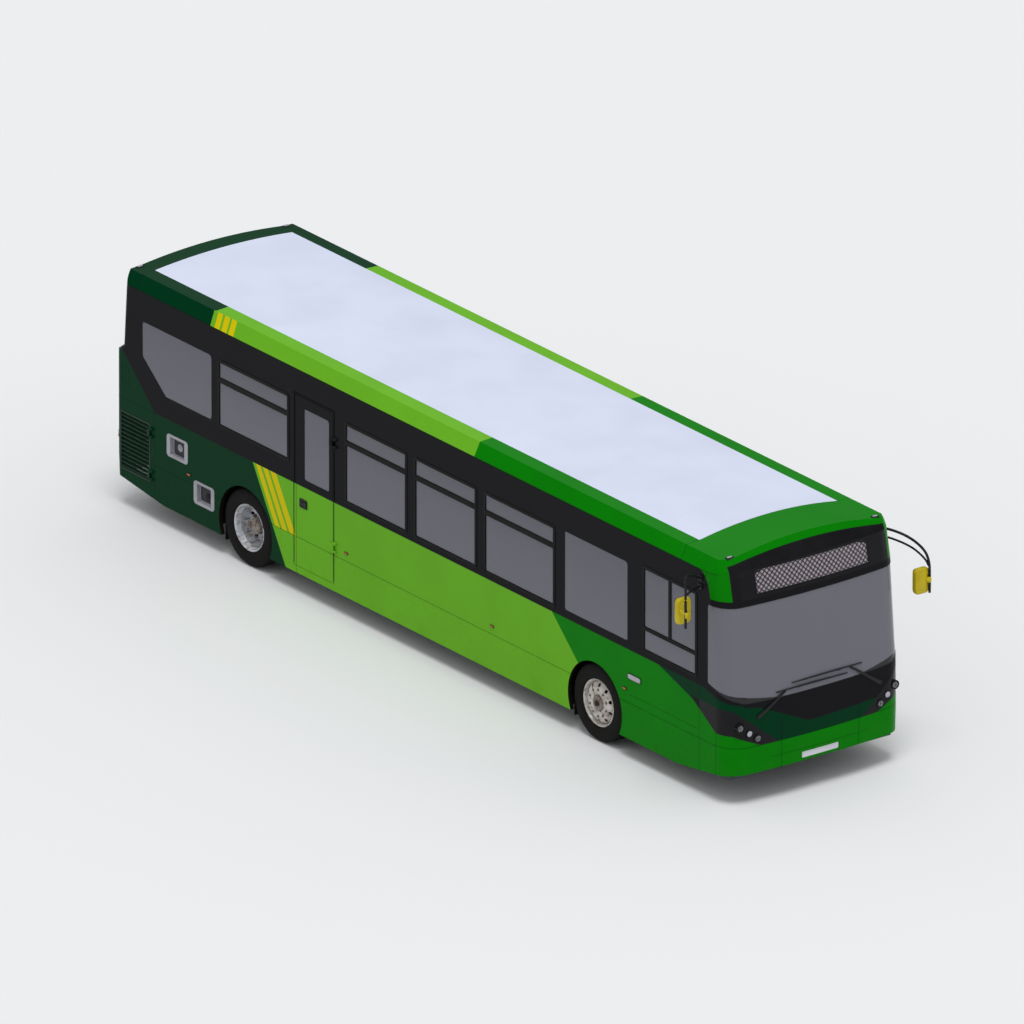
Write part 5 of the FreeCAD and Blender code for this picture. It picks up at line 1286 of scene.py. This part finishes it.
def sign_lights():
    finish = Finish("sign_lights", "#9A8F99", roughness=0.45, coat_weight=0.3)
    _, y, z = finish.place()
    dots = any_of([(y + shift).wave(sign_pitch) * (z + shift).wave(sign_pitch) > dot_edge
                   for shift in (0.0, sign_pitch / 2)])
    glow = finish.blend(finish.noise(14.0), "#8F8289", "#A398A2")
    finish.set("Base Color", finish.blend(dots, "#1C191D", glow))
    finish.set("Roughness", 0.5 - dots * 0.2)
    finish.bump(dots, 0.0015, 0.6)
    return finish


Shape().sheet(sign_face(0.009, 0.004), 0.006).make(
    "sign_matrix", sign_lights(), replaces=("destination_sign",))
print("sign", 2 * sign_half, "m wide")

# %% Surround of the sign
border = 0.004
last = sign_columns - 1
loop = ([(0, c) for c in range(sign_columns)] + [(1, last)]
        + [(2, c) for c in range(last, -1, -1)] + [(1, 0)])
front_rim, back_rim = sign_face(0.001, 0.003), sign_face(0.014, 0.003)
middle_level = front_rim[1][sign_columns // 2].z
verts = [rim[r][c] for rim in (front_rim, back_rim) for r, c in loop]
inset = [v + Vector((0, -math.copysign(border, v.y) if abs(v.y) > sign_half - 0.017 else 0,
                     border if v.z < middle_level else -border)) for v in verts]
count = len(loop)
faces = []
for i in range(count):
    j = (i + 1) % count
    front, back, front_in, back_in = [(k * count + i, k * count + j) for k in range(4)]
    for a, b in ((front, back), (front_in, back_in), (front, front_in), (back, back_in)):
        faces.append((a[0], a[1], b[1], b[0]))
Shape().add(verts + inset, faces).make("sign_surround", sign_grey)
print("surround points:", len(verts + inset))

# %% Front plate
plate_half, plate_levels = 0.26, (0.3765, 0.432, 0.4865)
plate_spots = [[front_at(y, z, 0.0, ["front_bumper"]) + Vector((0.004, 0, 0))
                for y in spread(-plate_half, plate_half, 13)] for z in plate_levels]
Shape().sheet(plate_spots, 0.003).make("front_plate", white_plate)
plate_screws = Shape()
for y in (-0.18, 0.18):
    plate_screws.turned([(0.006, 0.0), (0.006, 0.001), (0.004, 0.0022), (0.0005, 0.0024)],
                        front_at(y, plate_levels[1], 0.004, ["front_bumper"]), ahead, 16)
plate_screws.make("front_plate_screws", white_plate)
print("front plate at", rounded_spot(plate_spots[1][6]))

# %% Windscreen rubber
rubber_proud = 0.0015
rubber_top, rubber_side = 2.388, 5.3985
screen = ["windscreen"]
screen_path = [front_at(y, 1.243, rubber_proud, screen) - Vector((0, 0, 0.014))
               for y in spread(0.0, -0.92, 16)]
screen_sides = [(5.80, 1.262), (5.75, 1.284), (5.70, 1.306), (5.65, 1.328), (5.60, 1.350),
                (5.55, 1.366), (5.50, 1.382), (5.45, 1.398), (5.41, 1.412)]
screen_sides += [(rubber_side, z) for z in spread(1.43, 2.36, 10)]
screen_sides += [(x, rubber_top) for x in spread(5.41, 5.68, 8)]
for x, z in screen_sides:
    spot, normal = side_at(x, z, screen)
    screen_path.append(spot + normal * rubber_proud)
screen_path += [front_at(y, rubber_top, rubber_proud, screen) for y in spread(-1.13, 0.0, 20)]
screen_edge = Shape()
for side in (1, -1):
    screen_edge.tube([Vector((p.x, p.y * side, p.z)) for p in screen_path], 0.0055, 8)
screen_edge.make("windscreen_rubber", rubber, smooth=70.0)
print("screen edge", round(length(screen_path) * 2, 2), "m long")

# %% [markdown]
# ## Mirrors and wipers
#
# The arms are bent tube, drawn as one smooth curve through a few points. The wiper
# blades follow the screen: each point of a blade is looked up on the glass.

# %% Mirrors
arm_foot = 5.27
arm_levels = (2.66, 2.56)


def mirror_set(place, side, arms, head, clamp):
    tubes, housing, rim, face = shapes(4)
    for path, radius in arms:
        tubes.tube([Vector((x, side * y, z)) for x, y, z in smooth_path(path)], radius, 12)
    for z in arm_levels:
        tubes.soft((arm_foot, side * 1.2555, z), (0.074, 0.017, 0.066), 5.0)
        tubes.turned([(0.019, 0), (0.017, 0.006), (0.0145, 0.010), (0.0145, 0.016),
                      (0.001, 0.016)], (arm_foot, side * 1.262, z), (0, side, 0), 20)
    x, y, z = head
    grip_x, grip_y, grip_z = clamp
    tubes.turned([(0.0175, -0.006), (0.0185, -0.003), (0.0185, 0.003), (0.0175, 0.006),
                  (0.001, 0.006)], (grip_x, side * grip_y, grip_z + 0.045), (0, 0, 1), 20)
    housing.soft((x, side * y, z), (0.080, 0.196, 0.312), 5.5, 20, 40)
    housing.soft((x + 0.010, side * y, z), (0.078, 0.150, 0.250), 3.5, 16, 32)
    housing.soft((grip_x, side * grip_y, grip_z), (0.040, 0.040, 0.075), 5.0)
    housing.soft(((grip_x + x) / 2, side * (grip_y - 0.025), grip_z),
                 (grip_x - x + 0.03, 0.036, 0.045), 4.0)
    rim.soft((x - 0.033, side * y, z), (0.022, 0.180, 0.296), 7.0, 16, 40)
    face.soft((x - 0.0425, side * y, z), (0.006, 0.166, 0.280), 8.0, 16, 40)
    tubes.make("mirror_arms_" + place, black_plastic, smooth=50.0, replaces=("mirror_" + place,))
    housing.make("mirror_head_" + place, mirror_yellow, smooth=60.0)
    rim.make("mirror_rim_" + place, black_plastic, smooth=50.0)
    face.make("mirror_face_" + place, mirror_glass, smooth=50.0)


mirror_set(
    "right", -1,
    [([(arm_foot, 1.258, 2.66), (5.33, 1.40, 2.745), (5.41, 1.54, 2.803), (5.46, 1.603, 2.800),
       (5.479, 1.620, 2.755), (5.478, 1.618, 2.60), (5.478, 1.618, 2.40),
       (5.478, 1.618, 2.200)], 0.0155),
     ([(arm_foot, 1.258, 2.56), (5.36, 1.43, 2.585), (5.45, 1.585, 2.590),
       (5.476, 1.614, 2.575)], 0.0125)],
    (5.310, 1.530, 2.345), (5.478, 1.612, 2.36))
mirror_set(
    "left", 1,
    [([(arm_foot, 1.258, 2.66), (5.42, 1.295, 2.692), (5.60, 1.38, 2.665), (5.72, 1.47, 2.590),
       (5.785, 1.56, 2.47), (5.809, 1.602, 2.34), (5.809, 1.614, 2.20),
       (5.809, 1.614, 1.958)], 0.0155),
     ([(arm_foot, 1.258, 2.56), (5.42, 1.300, 2.588), (5.59, 1.395, 2.550), (5.70, 1.485, 2.480),
       (5.775, 1.570, 2.37), (5.803, 1.602, 2.29)], 0.0125)],
    (5.755, 1.530, 2.108), (5.809, 1.609, 2.12))

# %% Wipers
arm_section = [(-0.021, -0.007), (0.021, -0.007), (0.021, 0.003), (0.014, 0.007),
               (-0.014, 0.007), (-0.021, 0.003)]
spine_section = [(-0.010, -0.0030), (0.010, -0.0030), (0.006, 0.0045), (-0.006, 0.0045)]
lip_section = [(-0.0035, 0.003), (0.0035, 0.003), (0.001, -0.006), (-0.001, -0.006)]
blade_steps = 20
bow = [math.sin(math.pi * i / blade_steps) for i in range(blade_steps + 1)]

wiper_arms, wiper_rubbers = shapes(2)
for side, grip_y, blade_z, ends in ((-1, -0.50, 1.300, (-0.625, 0.385)),
                                    (1, 0.42, 1.366, (-0.405, 0.605))):
    pivot = front_at(side * 0.87, 1.055)
    wiper_arms.turned([(0.021, -0.004), (0.021, 0.004), (0.018, 0.008), (0.018, 0.016),
                       (0.015, 0.021), (0.001, 0.022)], pivot, ahead, 32)
    hold = front_at(grip_y, blade_z) + forward(0.021)
    heel = pivot + forward(0.012)
    knee = heel.lerp(hold, 0.33) + forward(0.004)
    path = [heel + (heel - hold).normalized() * 0.012, heel, heel.lerp(knee, 0.5), knee,
            knee.lerp(hold, 0.5), hold]
    wiper_arms.bar(path, arm_section, up=ahead, sizes=[0.9, 1.1, 1.0, 0.85, 0.75, 0.65])
    run = [front_at(y, blade_z + 0.010 * rise)
           for y, rise in zip(spread(*ends, blade_steps + 1), bow)]
    spine = [p + forward(0.0145 + 0.004 * rise) for p, rise in zip(run, bow)]
    wiper_arms.bar(spine, spine_section, up=ahead, sizes=[0.5 + 0.5 * rise for rise in bow])
    wiper_arms.soft(spine[10].lerp(hold, 0.5), (0.012, 0.055, 0.016), 4.0)
    for i in (2, 6, 14, 18):
        wiper_arms.soft(run[i] + forward(0.010), (0.010, 0.016, 0.012), 3.0, 6, 12)
    wiper_rubbers.bar([p + forward(0.0065) for p in run], lip_section, up=ahead)
wiper_arms.make("wiper_arms", black_plastic, smooth=35.0, replaces=("wipers",))
wiper_rubbers.make("wiper_rubbers", rubber, smooth=35.0)
print("wiper blades", round((run[-1] - run[0]).length, 3), "m")

# %% [markdown]
# ## Seals, joints and small fittings
#
# Every pane sits behind a rubber bead. The bead follows the pane's own outline, so it
# is found from the glass itself. The emergency door has a black handle plate and thick
# rubber in its joints, and each entrance leaf has a soft edge that closes the gap to
# its neighbour. These ride on the leaf they belong to.

# %% Window seals
slant_window = [(-5.359, 2.41), (-5.359, 1.973), (-4.908, 1.603), (-4.017, 1.603), (-4.017, 2.41)]
seal_places = {"side_glass_right": ("root", -1), "side_glass_left": ("root", 1),
               "emergency_glass": ("emergency_door", -1), "door_glass_rear": ("door_leaf_rear", 1),
               "door_glass_front": ("door_leaf_front", 1)}


def bead_round(shape, corners, y, radius=0.005, turn=0.014):
    path = [Vector((x, y, z)) for x, z in rounded(corners, turn, 3)]
    shape.tube(path, radius, 6, closed=True, up=(0, 1, 0))


for node, (body, side) in seal_places.items():
    seals = Shape()
    for low, high in parts_of(node):
        y = side * max(abs(low.y), abs(high.y)) + side * 0.0005
        if low.x < -5.3:
            bead_round(seals, slant_window, y, 0.006, 0.05)
        else:
            bead_round(seals, [(low.x, low.z), (high.x, low.z), (high.x, high.z),
                               (low.x, high.z)], y)
    seals.make("seals_" + node, rubber, body, smooth=70.0)
print("panes with seals:", sum(len(parts_of(node)) for node in seal_places))

# %% Emergency door
exit_low, exit_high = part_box("emergency_door")
joint_rubber, exit_plate, exit_lever = shapes(3)
spot, normal = side_at(-2.249, 1.140, ["emergency_door"])
for x in (-2.432, -1.674):
    path = [(x, spot.y - 0.0008, z) for z in (exit_low.z + 0.02, exit_high.z - 0.02)]
    joint_rubber.bar(path, box_outline(0.003, 0.002), up=(0, -1, 0))
exit_plate.soft(spot + normal * 0.001, (0.150, 0.008, 0.112), 9.0, 16, 48)
exit_lever.soft(spot + normal * 0.005, (0.112, 0.010, 0.030), 6.0, 12, 32)
exit_lever.soft(spot + normal * 0.005 + forward(0.046), (0.030, 0.014, 0.060), 6.0, 12, 32)
joint_rubber.make("exit_door_edges", rubber, "emergency_door")
exit_plate.make("exit_handle_plate", gloss_black, "emergency_door", smooth=60.0)
exit_lever.make("exit_handle", black_plastic, "emergency_door", smooth=60.0)
print("exit handle at", rounded_spot(spot))

# %% Entrance door edges
for end, inner in (("rear", 1), ("front", -1)):
    low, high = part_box("door_leaf_" + end)
    glass_low, glass_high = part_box("door_glass_" + end)
    x = (high.x if inner > 0 else low.x) + inner * 0.0005
    y = (glass_low.y + glass_high.y) / 2
    edge = Shape().tube([(x, y, low.z + 0.02), (x, y, high.z - 0.06)], 0.0040, up=(0, 1, 0))
    edge.make("door_edge_" + end, rubber, "door_leaf_" + end, smooth=60.0)
print("door leaves meet at x", round(x, 3))

# %% Fuel fillers
filler_recess_shade, filler_caps, dark_caps = shapes(3)
for (x0, x1, z0, z1), (cap_x, cap_z), caps in (
        ((-4.797, -4.554, 0.934, 1.146), (-4.672, 1.040), filler_caps),
        ((-4.287, -4.056, 0.522, 0.725), (-4.135, 0.600), dark_caps)):
    spot, normal = side_at((x0 + x1) / 2, (z0 + z1) / 2,
                           ["side_right", "rear_lower", "filler_frames"])
    # A dark grey plate in each filler recess is painted shade of the recess.
    filler_recess_shade.soft(spot + normal * 0.001, (x1 - x0 - 0.006, 0.006, z1 - z0 - 0.006), 8.0, 12, 48)
    caps.turned([(0.047, 0.0), (0.047, 0.006), (0.043, 0.010), (0.030, 0.0115), (0.029, 0.009),
                 (0.001, 0.010)], (cap_x, spot.y - 0.003, cap_z), (0, -1, 0), 40)
    caps.soft((cap_x, spot.y - 0.014, cap_z), (0.066, 0.008, 0.014), 4.0, 8, 24)
filler_recess_shade.make("filler_recess_shade", filler_shade_grey, smooth=60.0)
filler_caps.make("filler_cap_upper", filler_grey, smooth=45.0)
dark_caps.make("filler_cap_lower", black_plastic, smooth=45.0)
print("filler at", rounded_spot(spot))

# %% Side vent
vent_start = (-5.675, 2.245)
vent_pitch = 0.024
vent = Shape()
for row in range(5):
    for column in range(5):
        x = vent_start[0] + vent_pitch * (column + 0.5 * (row % 2))
        spot, normal = side_at(x, vent_start[1] + vent_pitch * row,
                               ["rear_upper", "side_right", "rear_lower"])
        vent.turned([(0.0075, -0.001), (0.0075, 0.0012), (0.0055, 0.0018), (0.0045, -0.0005)],
                    spot, normal, 10, closed=True)
vent.make("side_vent_mesh", chassis_black, smooth=50.0)
print("vent ends at", rounded_spot(spot))

# %% Rear plate, latches and reflectors
plate_spots = [[rear_at(y, z)[0] - forward(0.006) for y in spread(plate_half, -plate_half, 13)]
               for z in spread(0.552, 0.663, 3)]
Shape().sheet(plate_spots, 0.003).make("rear_plate", yellow_plate)
rear_latches, rear_marks = shapes(2)
for y in (-0.62, 0.62):
    spot, normal = rear_at(y, 0.775, ["engine_cover"])
    rear_latches.turned([(0.026, -0.002), (0.026, 0.004), (0.022, 0.007), (0.012, 0.007),
                         (0.010, 0.005), (0.001, 0.005)], spot, normal, 32)
    rear_latches.soft(spot + normal * 0.007, (0.006, 0.030, 0.008), 4.0, 6, 16)
rear_latches.make("engine_cover_latches", satin_steel, "engine_cover", smooth=45.0)
for side in (-1, 1):
    rear_marks.soft(rear_at(side * 0.95, 0.60)[0], (0.010, 0.085, 0.036), 5.0, 10, 24)
rear_marks.make("rear_reflectors", red_lens, smooth=60.0)
print("rear plate at", rounded_spot(plate_spots[1][6]))

# %% Lenses on the rear corners
corner_amber, corner_white = shapes(2)
for side in (-1, 1):
    for shape, level in ((corner_amber, 0.835), (corner_white, 0.882)):
        spot, normal = touch(rear_skin + ["side_right", "side_left"],
                             (-outside, side * 3.30, level), (1, -side * 0.97, 0))
        turn = Vector((1, 0, 0)).rotation_difference(Vector((normal.x, normal.y, 0)))
        shape.soft(spot, (0.012, 0.042, 0.044), 4.5, 10, 24, turn)
corner_amber.make("rear_corner_amber", amber_lens, smooth=60.0)
corner_white.make("rear_corner_white", grey_lens, smooth=60.0)
print("corner lens at", rounded_spot(spot))

# %% [markdown]
# ## Seats
#
# A bus seat is a thin moulded shell with a stuffed pad on its base and another on its
# back. The pads are blown up from a slightly small block by cloth simulation: the
# underside is held by the shell and the rest swells until its cover is tight. One pad
# of each kind is simulated, and every seat gets a copy. Piping is sewn round the edge
# afterwards, and the back's two channels are pressed in.

# %% Pads by cloth simulation
voxel = 0.007
swell_frames = 20
swell_limit = 0.024
held_below = 0.014
kept_share = 0.28
channel_depth = channel_width = 0.011


def evaluated(thing):
    """The thing's mesh with its modifiers applied."""
    graph = bpy.context.evaluated_depsgraph_get()
    return bpy.data.meshes.new_from_object(thing.evaluated_get(graph))


def swell(pad):
    """Blows the pad up as cloth whose underside is held."""
    rest = [v.co.copy() for v in pad.data.vertices]
    held = pad.vertex_groups.new(name="held")
    held.add([v.index for v in pad.data.vertices if v.co.z < held_below], 1.0, "REPLACE")
    cloth = pad.modifiers.new("cloth", "CLOTH").settings
    cloth.quality = 5
    cloth.mass = 0.3
    cloth.use_pressure = True
    cloth.uniform_pressure_force = 4.0
    cloth.vertex_group_mass = "held"
    cloth.effector_weights.gravity = 0.0
    for frame_number in range(1, swell_frames + 1):
        bpy.context.scene.frame_set(frame_number)
    pad.data = evaluated(pad)
    pad.modifiers.clear()
    bpy.context.scene.frame_set(1)
    for vert, before in zip(pad.data.vertices, rest):
        moved = vert.co - before
        if moved.length > swell_limit:
            vert.co = before + moved.normalized() * swell_limit


def stuffed(size, channels=()):
    """Vertices and faces of a pad on its back at the origin: x long, y wide, z thick."""
    size = Vector(size)
    start = Shape().soft((0, 0, size.z / 2), size - Vector((0.016, 0.016, 0.006)), 7.0, 24, 64)
    pad = add_object("pad", bpy.data.meshes.new("pad"))
    pad.data.from_pydata([tuple(v) for v in start.verts], [], start.faces)
    remesh = pad.modifiers.new("remesh", "REMESH")
    remesh.mode = "VOXEL"
    remesh.voxel_size = voxel
    pad.data = evaluated(pad)
    pad.modifiers.clear()
    swell(pad)
    for vert in pad.data.vertices:
        if vert.co.z > size.z * 0.4:
            for place in channels:
                vert.co.z -= channel_depth * math.exp(-((vert.co.y - place) / channel_width) ** 2)
        vert.co.z = max(vert.co.z, 0.0)
    pad.modifiers.new("fewer", "DECIMATE").ratio = kept_share
    mesh = evaluated(pad)
    verts = [v.co.copy() for v in mesh.vertices]
    faces = [tuple(f.vertices) for f in mesh.polygons]
    bpy.data.objects.remove(pad)
    return verts, faces


cushion_size = (0.405, 0.415, 0.066)
back_size = (0.605, 0.405, 0.050)
cushion_pad = stuffed(cushion_size)
back_pad = stuffed(back_size, channels=(-0.115, 0.115))
print("pad faces:", len(cushion_pad[1]), len(back_pad[1]))
print("cushion thickness:", round(max(v.z for v in cushion_pad[0]), 3), "m")


# %% Seat cloth
def moquette(name, ground, second, fleck):
    """Woven seat cloth: a quiet ground, small bands in a second colour and bright flecks."""
    finish = Finish(name, ground, roughness=0.9, specular_ior_level=0.2, sheen_weight=0.3)
    x, y, z = finish.place()
    bands = finish.smooth(y.wave(0.036) * (x + z * 0.7).wave(0.052), 0.30, 0.36)
    flecks = (y + 0.009).wave(0.018) * (x + z).wave(0.026) > 0.72
    finish.set("Base Color", finish.layers(
        ground,
        (bands * 0.8, second),
        (flecks * finish.patches(55.0, 1.0, 0.45, 0.6), fleck),
        (finish.patches(4.0, 3.0, 0.4, 0.8) * 0.25, "#4A5350"),
    ))
    finish.bump(y.wave(0.0022) * (x + z).wave(0.0022), 0.0006, 0.5)
    return finish


seat_cloth = moquette("seat_cloth", "#16302A", "#1F4A38", "#8FA83A")
driver_cloth = moquette("driver_cloth", "#1C2226", "#272F34", "#5D6A70")
print("cloths:", seat_cloth.material.name, driver_cloth.material.name)

# %% One seat
piping_radius = 0.0045
shell_half = 0.211
recline = Matrix.Rotation(-math.atan2(0.07, 0.64), 3, "Y")
upright = Matrix(((0, 0, 1), (0, 1, 0), (1, 0, 0)))


def seam_ring(size, inset=0.009):
    """Outline of a pad's sewn edge."""
    return rounded(box_outline(size[0] / 2 - inset, size[1] / 2 - inset), 0.045)


def sit(x_front, y, z_floor, parts, size=1.0):
    """One seat: a cushion, a back, piping round both and the shell under them."""
    pads, piping, shells = parts
    low = Vector((x_front - 0.208 * size, y, z_floor + 0.360))
    middle = Vector((x_front - 0.43 * size - 0.0475, y, z_floor + 0.745))

    def leaned(v):
        return middle + recline @ (upright @ v) * size

    pads.add([low + v * size for v in cushion_pad[0]], cushion_pad[1])
    pads.add([leaned(v) for v in back_pad[0]], [face[::-1] for face in back_pad[1]])
    piping.tube([low + Vector((a, b, 0.048)) * size for a, b in seam_ring(cushion_size)],
                piping_radius, 6, closed=True)
    piping.tube([leaned(Vector((a, b, 0.036))) for a, b in seam_ring(back_size)],
                piping_radius, 6, closed=True, up=(1, 0, 0))
    foot = middle - recline @ Vector((0.012, 0, 0.345 * size))
    head = middle - recline @ Vector((0.012, 0, -0.310 * size))
    path = smooth_path([(x_front - 0.006, y, z_floor + 0.345),
                        (x_front - 0.2 * size, y, z_floor + 0.350),
                        (x_front - 0.40 * size, y, z_floor + 0.352),
                        foot, foot.lerp(head, 0.5), head], 4)
    half = shell_half * size
    shells.bar(path, [(-0.008, -half), (0.008, -half), (0.010, 0), (0.008, half),
                      (-0.008, half), (-0.010, 0)], up=(0, 1, 0))


print("piping round a back:", round(length(seam_ring(back_size)), 2), "m")

# %% Rows of seats
row_floor, rear_floor, bench_floor = 0.34, 0.76, 1.19
front_of_seat = 0.58
right_rows = spread(-1.009, 1.871, 5)
left_rows = spread(-2.449, 1.871, 7)
doubles = [(x + front_of_seat, side, row_floor)
           for side, rows in ((-1, right_rows), (1, left_rows)) for x in rows]
doubles += [(-4.576 + front_of_seat, side, rear_floor) for side in (-1, 1)]
handle_points = [(0.008, 0.02, -0.11), (0, -0.004, -0.06), (0, 0, -0.01), (0, 0.03, 0.016),
                 (0, 0.10, 0.016), (0.004, 0.115, -0.02)]
steel, rails = shapes(2)
groups = {-1: shapes(3), 1: shapes(3), 0: shapes(3)}
for x_front, side, z in doubles:
    for y in (0.552, 0.982):
        sit(x_front, side * y, z, groups[side])
    for x in (x_front - 0.10, x_front - 0.34):
        steel.tube([(x, side * 0.36, z + 0.325), (x, side * 1.185, z + 0.325)], 0.014)
    leg_x, leg_y = x_front - 0.22, side * 0.45
    steel.bar([(leg_x, leg_y, z + 0.318), (leg_x, leg_y, z + 0.01)],
              rounded(box_outline(0.02, 0.035), 0.012, 3))
    steel.soft((leg_x, leg_y, z + 0.008), (0.20, 0.075, 0.014), 6.0, 6, 24)
    steel.soft((leg_x, leg_y, z + 0.318), (0.30, 0.05, 0.03), 5.0, 6, 24)
    top = Vector((x_front - 0.525, side * 0.345, z + 1.035))
    rails.tube(smooth_path([top + Vector((a, side * b, c)) for a, b, c in handle_points], 5),
               0.0125)
for y in spread(-0.90, 0.90, 5):
    sit(-5.391 + front_of_seat, y, bench_floor, groups[0])
for tag, side in (("right", -1), ("left", 1), ("bench", 0)):
    pads, piping, shells = groups[side]
    made = pads.make("seat_pads_" + tag, seat_cloth, smooth=180.0, replaces=("passenger_seats",))
    piping.make("seat_piping_" + tag, piping_cloth, smooth=180.0)
    shells.make("seat_shells_" + tag, seat_shell, smooth=50.0, bevel=0.003)
steel.make("seat_frames", satin_steel)
rails.make("seat_handles", rail_yellow, smooth=60.0)
print("seats:", 2 * len(doubles) + 5)

# %% Driver's seat
driver_y = -0.64
pads, piping, shells = shapes(3)
sit(4.640, driver_y, 0.60, (pads, piping, shells), 1.06)
pads.soft((4.085, driver_y, 1.545), (0.075, 0.25, 0.085), 3.2, 16, 32)
made = pads.make("driver_pads", driver_cloth, smooth=180.0, replaces=("driver_seat",))
piping.make("driver_piping", piping_cloth, smooth=180.0)
shells.make("driver_shell", seat_shell, smooth=50.0, bevel=0.003)
folds = [(0.150 - 0.018 * (i % 2), 0.05 + 0.03 * i) for i in range(11)]
pedestal = Shape().turned([(0.17, 0.0), (0.17, 0.02), (0.15, 0.03)] + folds
                          + [(0.13, 0.36), (0.13, 0.40), (0.001, 0.40)],
                          (4.42, driver_y, 0.53), (0, 0, 1), 40)
pedestal.make("driver_pedestal", rubber, smooth=30.0)
print("folds of the pedestal:", len(folds) // 2)

# %% Steering wheel
wheel_radius, wheel_grip = 0.2235, 0.0145
wheel_low, wheel_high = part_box("steering_wheel")
wheel_centre = (wheel_low + wheel_high) / 2 + Vector((0, 0, 0.012))
wheel_axis = Vector((-0.5, 0, 0.866))
wheel_turn = Vector((0, 0, 1)).rotation_difference(wheel_axis)


def across_wheel(x, y):
    return wheel_turn @ Vector((x, y, 0))


wheel, column = shapes(2)
wheel.tube([wheel_centre + across_wheel(wheel_radius * math.cos(a), wheel_radius * math.sin(a))
            for a in spread(0, 2 * math.pi * 63 / 64, 64)],
           wheel_grip, 12, closed=True, up=wheel_axis)
for turn in (110, 250, 360):
    out = across_wheel(math.cos(math.radians(turn)), math.sin(math.radians(turn)))
    wheel.bar([wheel_centre + out * reach - wheel_axis * drop
               for reach, drop in ((0.04, 0.03), (0.13, 0.018), (0.218, 0.0))],
              [(-0.017, -0.005), (0.017, -0.005), (0.014, 0.005), (-0.014, 0.005)],
              up=wheel_axis)
wheel.turned([(0.062, -0.045), (0.066, -0.02), (0.058, -0.006), (0.03, 0.0), (0.001, 0.001)],
             wheel_centre, wheel_axis, 40)
wheel.make("steering_wheel_rim", black_plastic, smooth=50.0, replaces=("steering_wheel",))
column.turned([(0.055, 0.0), (0.048, 0.08), (0.04, 0.26), (0.03, 0.30)],
              wheel_centre - wheel_axis * 0.33, wheel_axis, 32)
for side in (-1, 1):
    stalk = wheel_centre - wheel_axis * 0.06
    column.tube([stalk, stalk + Vector((0.03, side * 0.12, 0.01)),
                 stalk + Vector((0.02, side * 0.17, 0.02))], 0.007, 8)
column.make("steering_column", black_plastic, smooth=50.0)
print("driver's wheel", round(2 * (wheel_radius + wheel_grip), 3), "m across")

# %% Dashboard
dash_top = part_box("dashboard")[1].z
face_x = touch(["dashboard"], (4.0, driver_y, dash_top - 0.07), (1, 0, 0))[0].x
binnacle, dials, buttons = shapes(3)
binnacle.soft((face_x, driver_y, dash_top - 0.075), (0.03, 0.46, 0.13), 7.0, 12, 40)
for y in (-0.09, 0.09):
    dials.turned([(0.052, 0), (0.052, 0.004), (0.047, 0.006), (0.044, 0.003), (0.001, 0.003)],
                 (face_x - 0.015, driver_y + y, dash_top - 0.070), (-1, 0, 0), 40)
for z in (dash_top - 0.05, dash_top - 0.095):
    for y in spread(-0.205, -0.155, 3) + spread(0.155, 0.205, 3) + spread(-0.02, 0.02, 2):
        buttons.soft((face_x - 0.016, driver_y + y, z), (0.008, 0.018, 0.026), 5.0, 6, 12)
binnacle.make("dash_binnacle", black_plastic, smooth=50.0)
dials.make("dash_dials", satin_steel, smooth=40.0)
buttons.make("dash_switches", dash_vinyl, smooth=50.0)
print("dashboard face at x", round(face_x, 3))

# %% [markdown]
# ## Inside and underneath
#
# Two lines of lights run under the ceiling. Underneath, each axle is carried by four
# air bellows: rubber cushions with rolled folds.

# %% Ceiling lights and air springs
lights, springs = shapes(2)
for side in (-1, 1):
    for x0, x1 in ((-5.2, -2.6), (-2.5, 0.2), (0.3, 3.0), (3.1, 4.6)):
        lights.soft(((x0 + x1) / 2, side * 0.80, 2.795), (x1 - x0, 0.11, 0.022), 9.0, 8, 32)
lights.make("ceiling_lights", light_strip, smooth=50.0)

folds = [(0.105 + 0.012 * math.sin(math.pi * i / 3), 0.02 + 0.0115 * i) for i in range(13)]
bellows = [(0.07, 0.0), (0.085, 0.012)] + folds + [(0.085, 0.17), (0.07, 0.18), (0.001, 0.18)]
for axle, reach, y in zip(arch_centres, (0.26, 0.42), (0.46, 0.50)):
    for x in (axle - reach, axle + reach):
        for side in (-1, 1):
            springs.turned(bellows, (x, side * y, 0.30), (0, 0, 1), 32)
springs.make("air_springs", rubber, smooth=60.0)
print("bellows of", len(folds), "rings")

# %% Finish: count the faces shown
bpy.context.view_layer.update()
faces_shown = sum(len(p.data.polygons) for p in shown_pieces() if p.type == "MESH")
print("faces shown:", faces_shown)
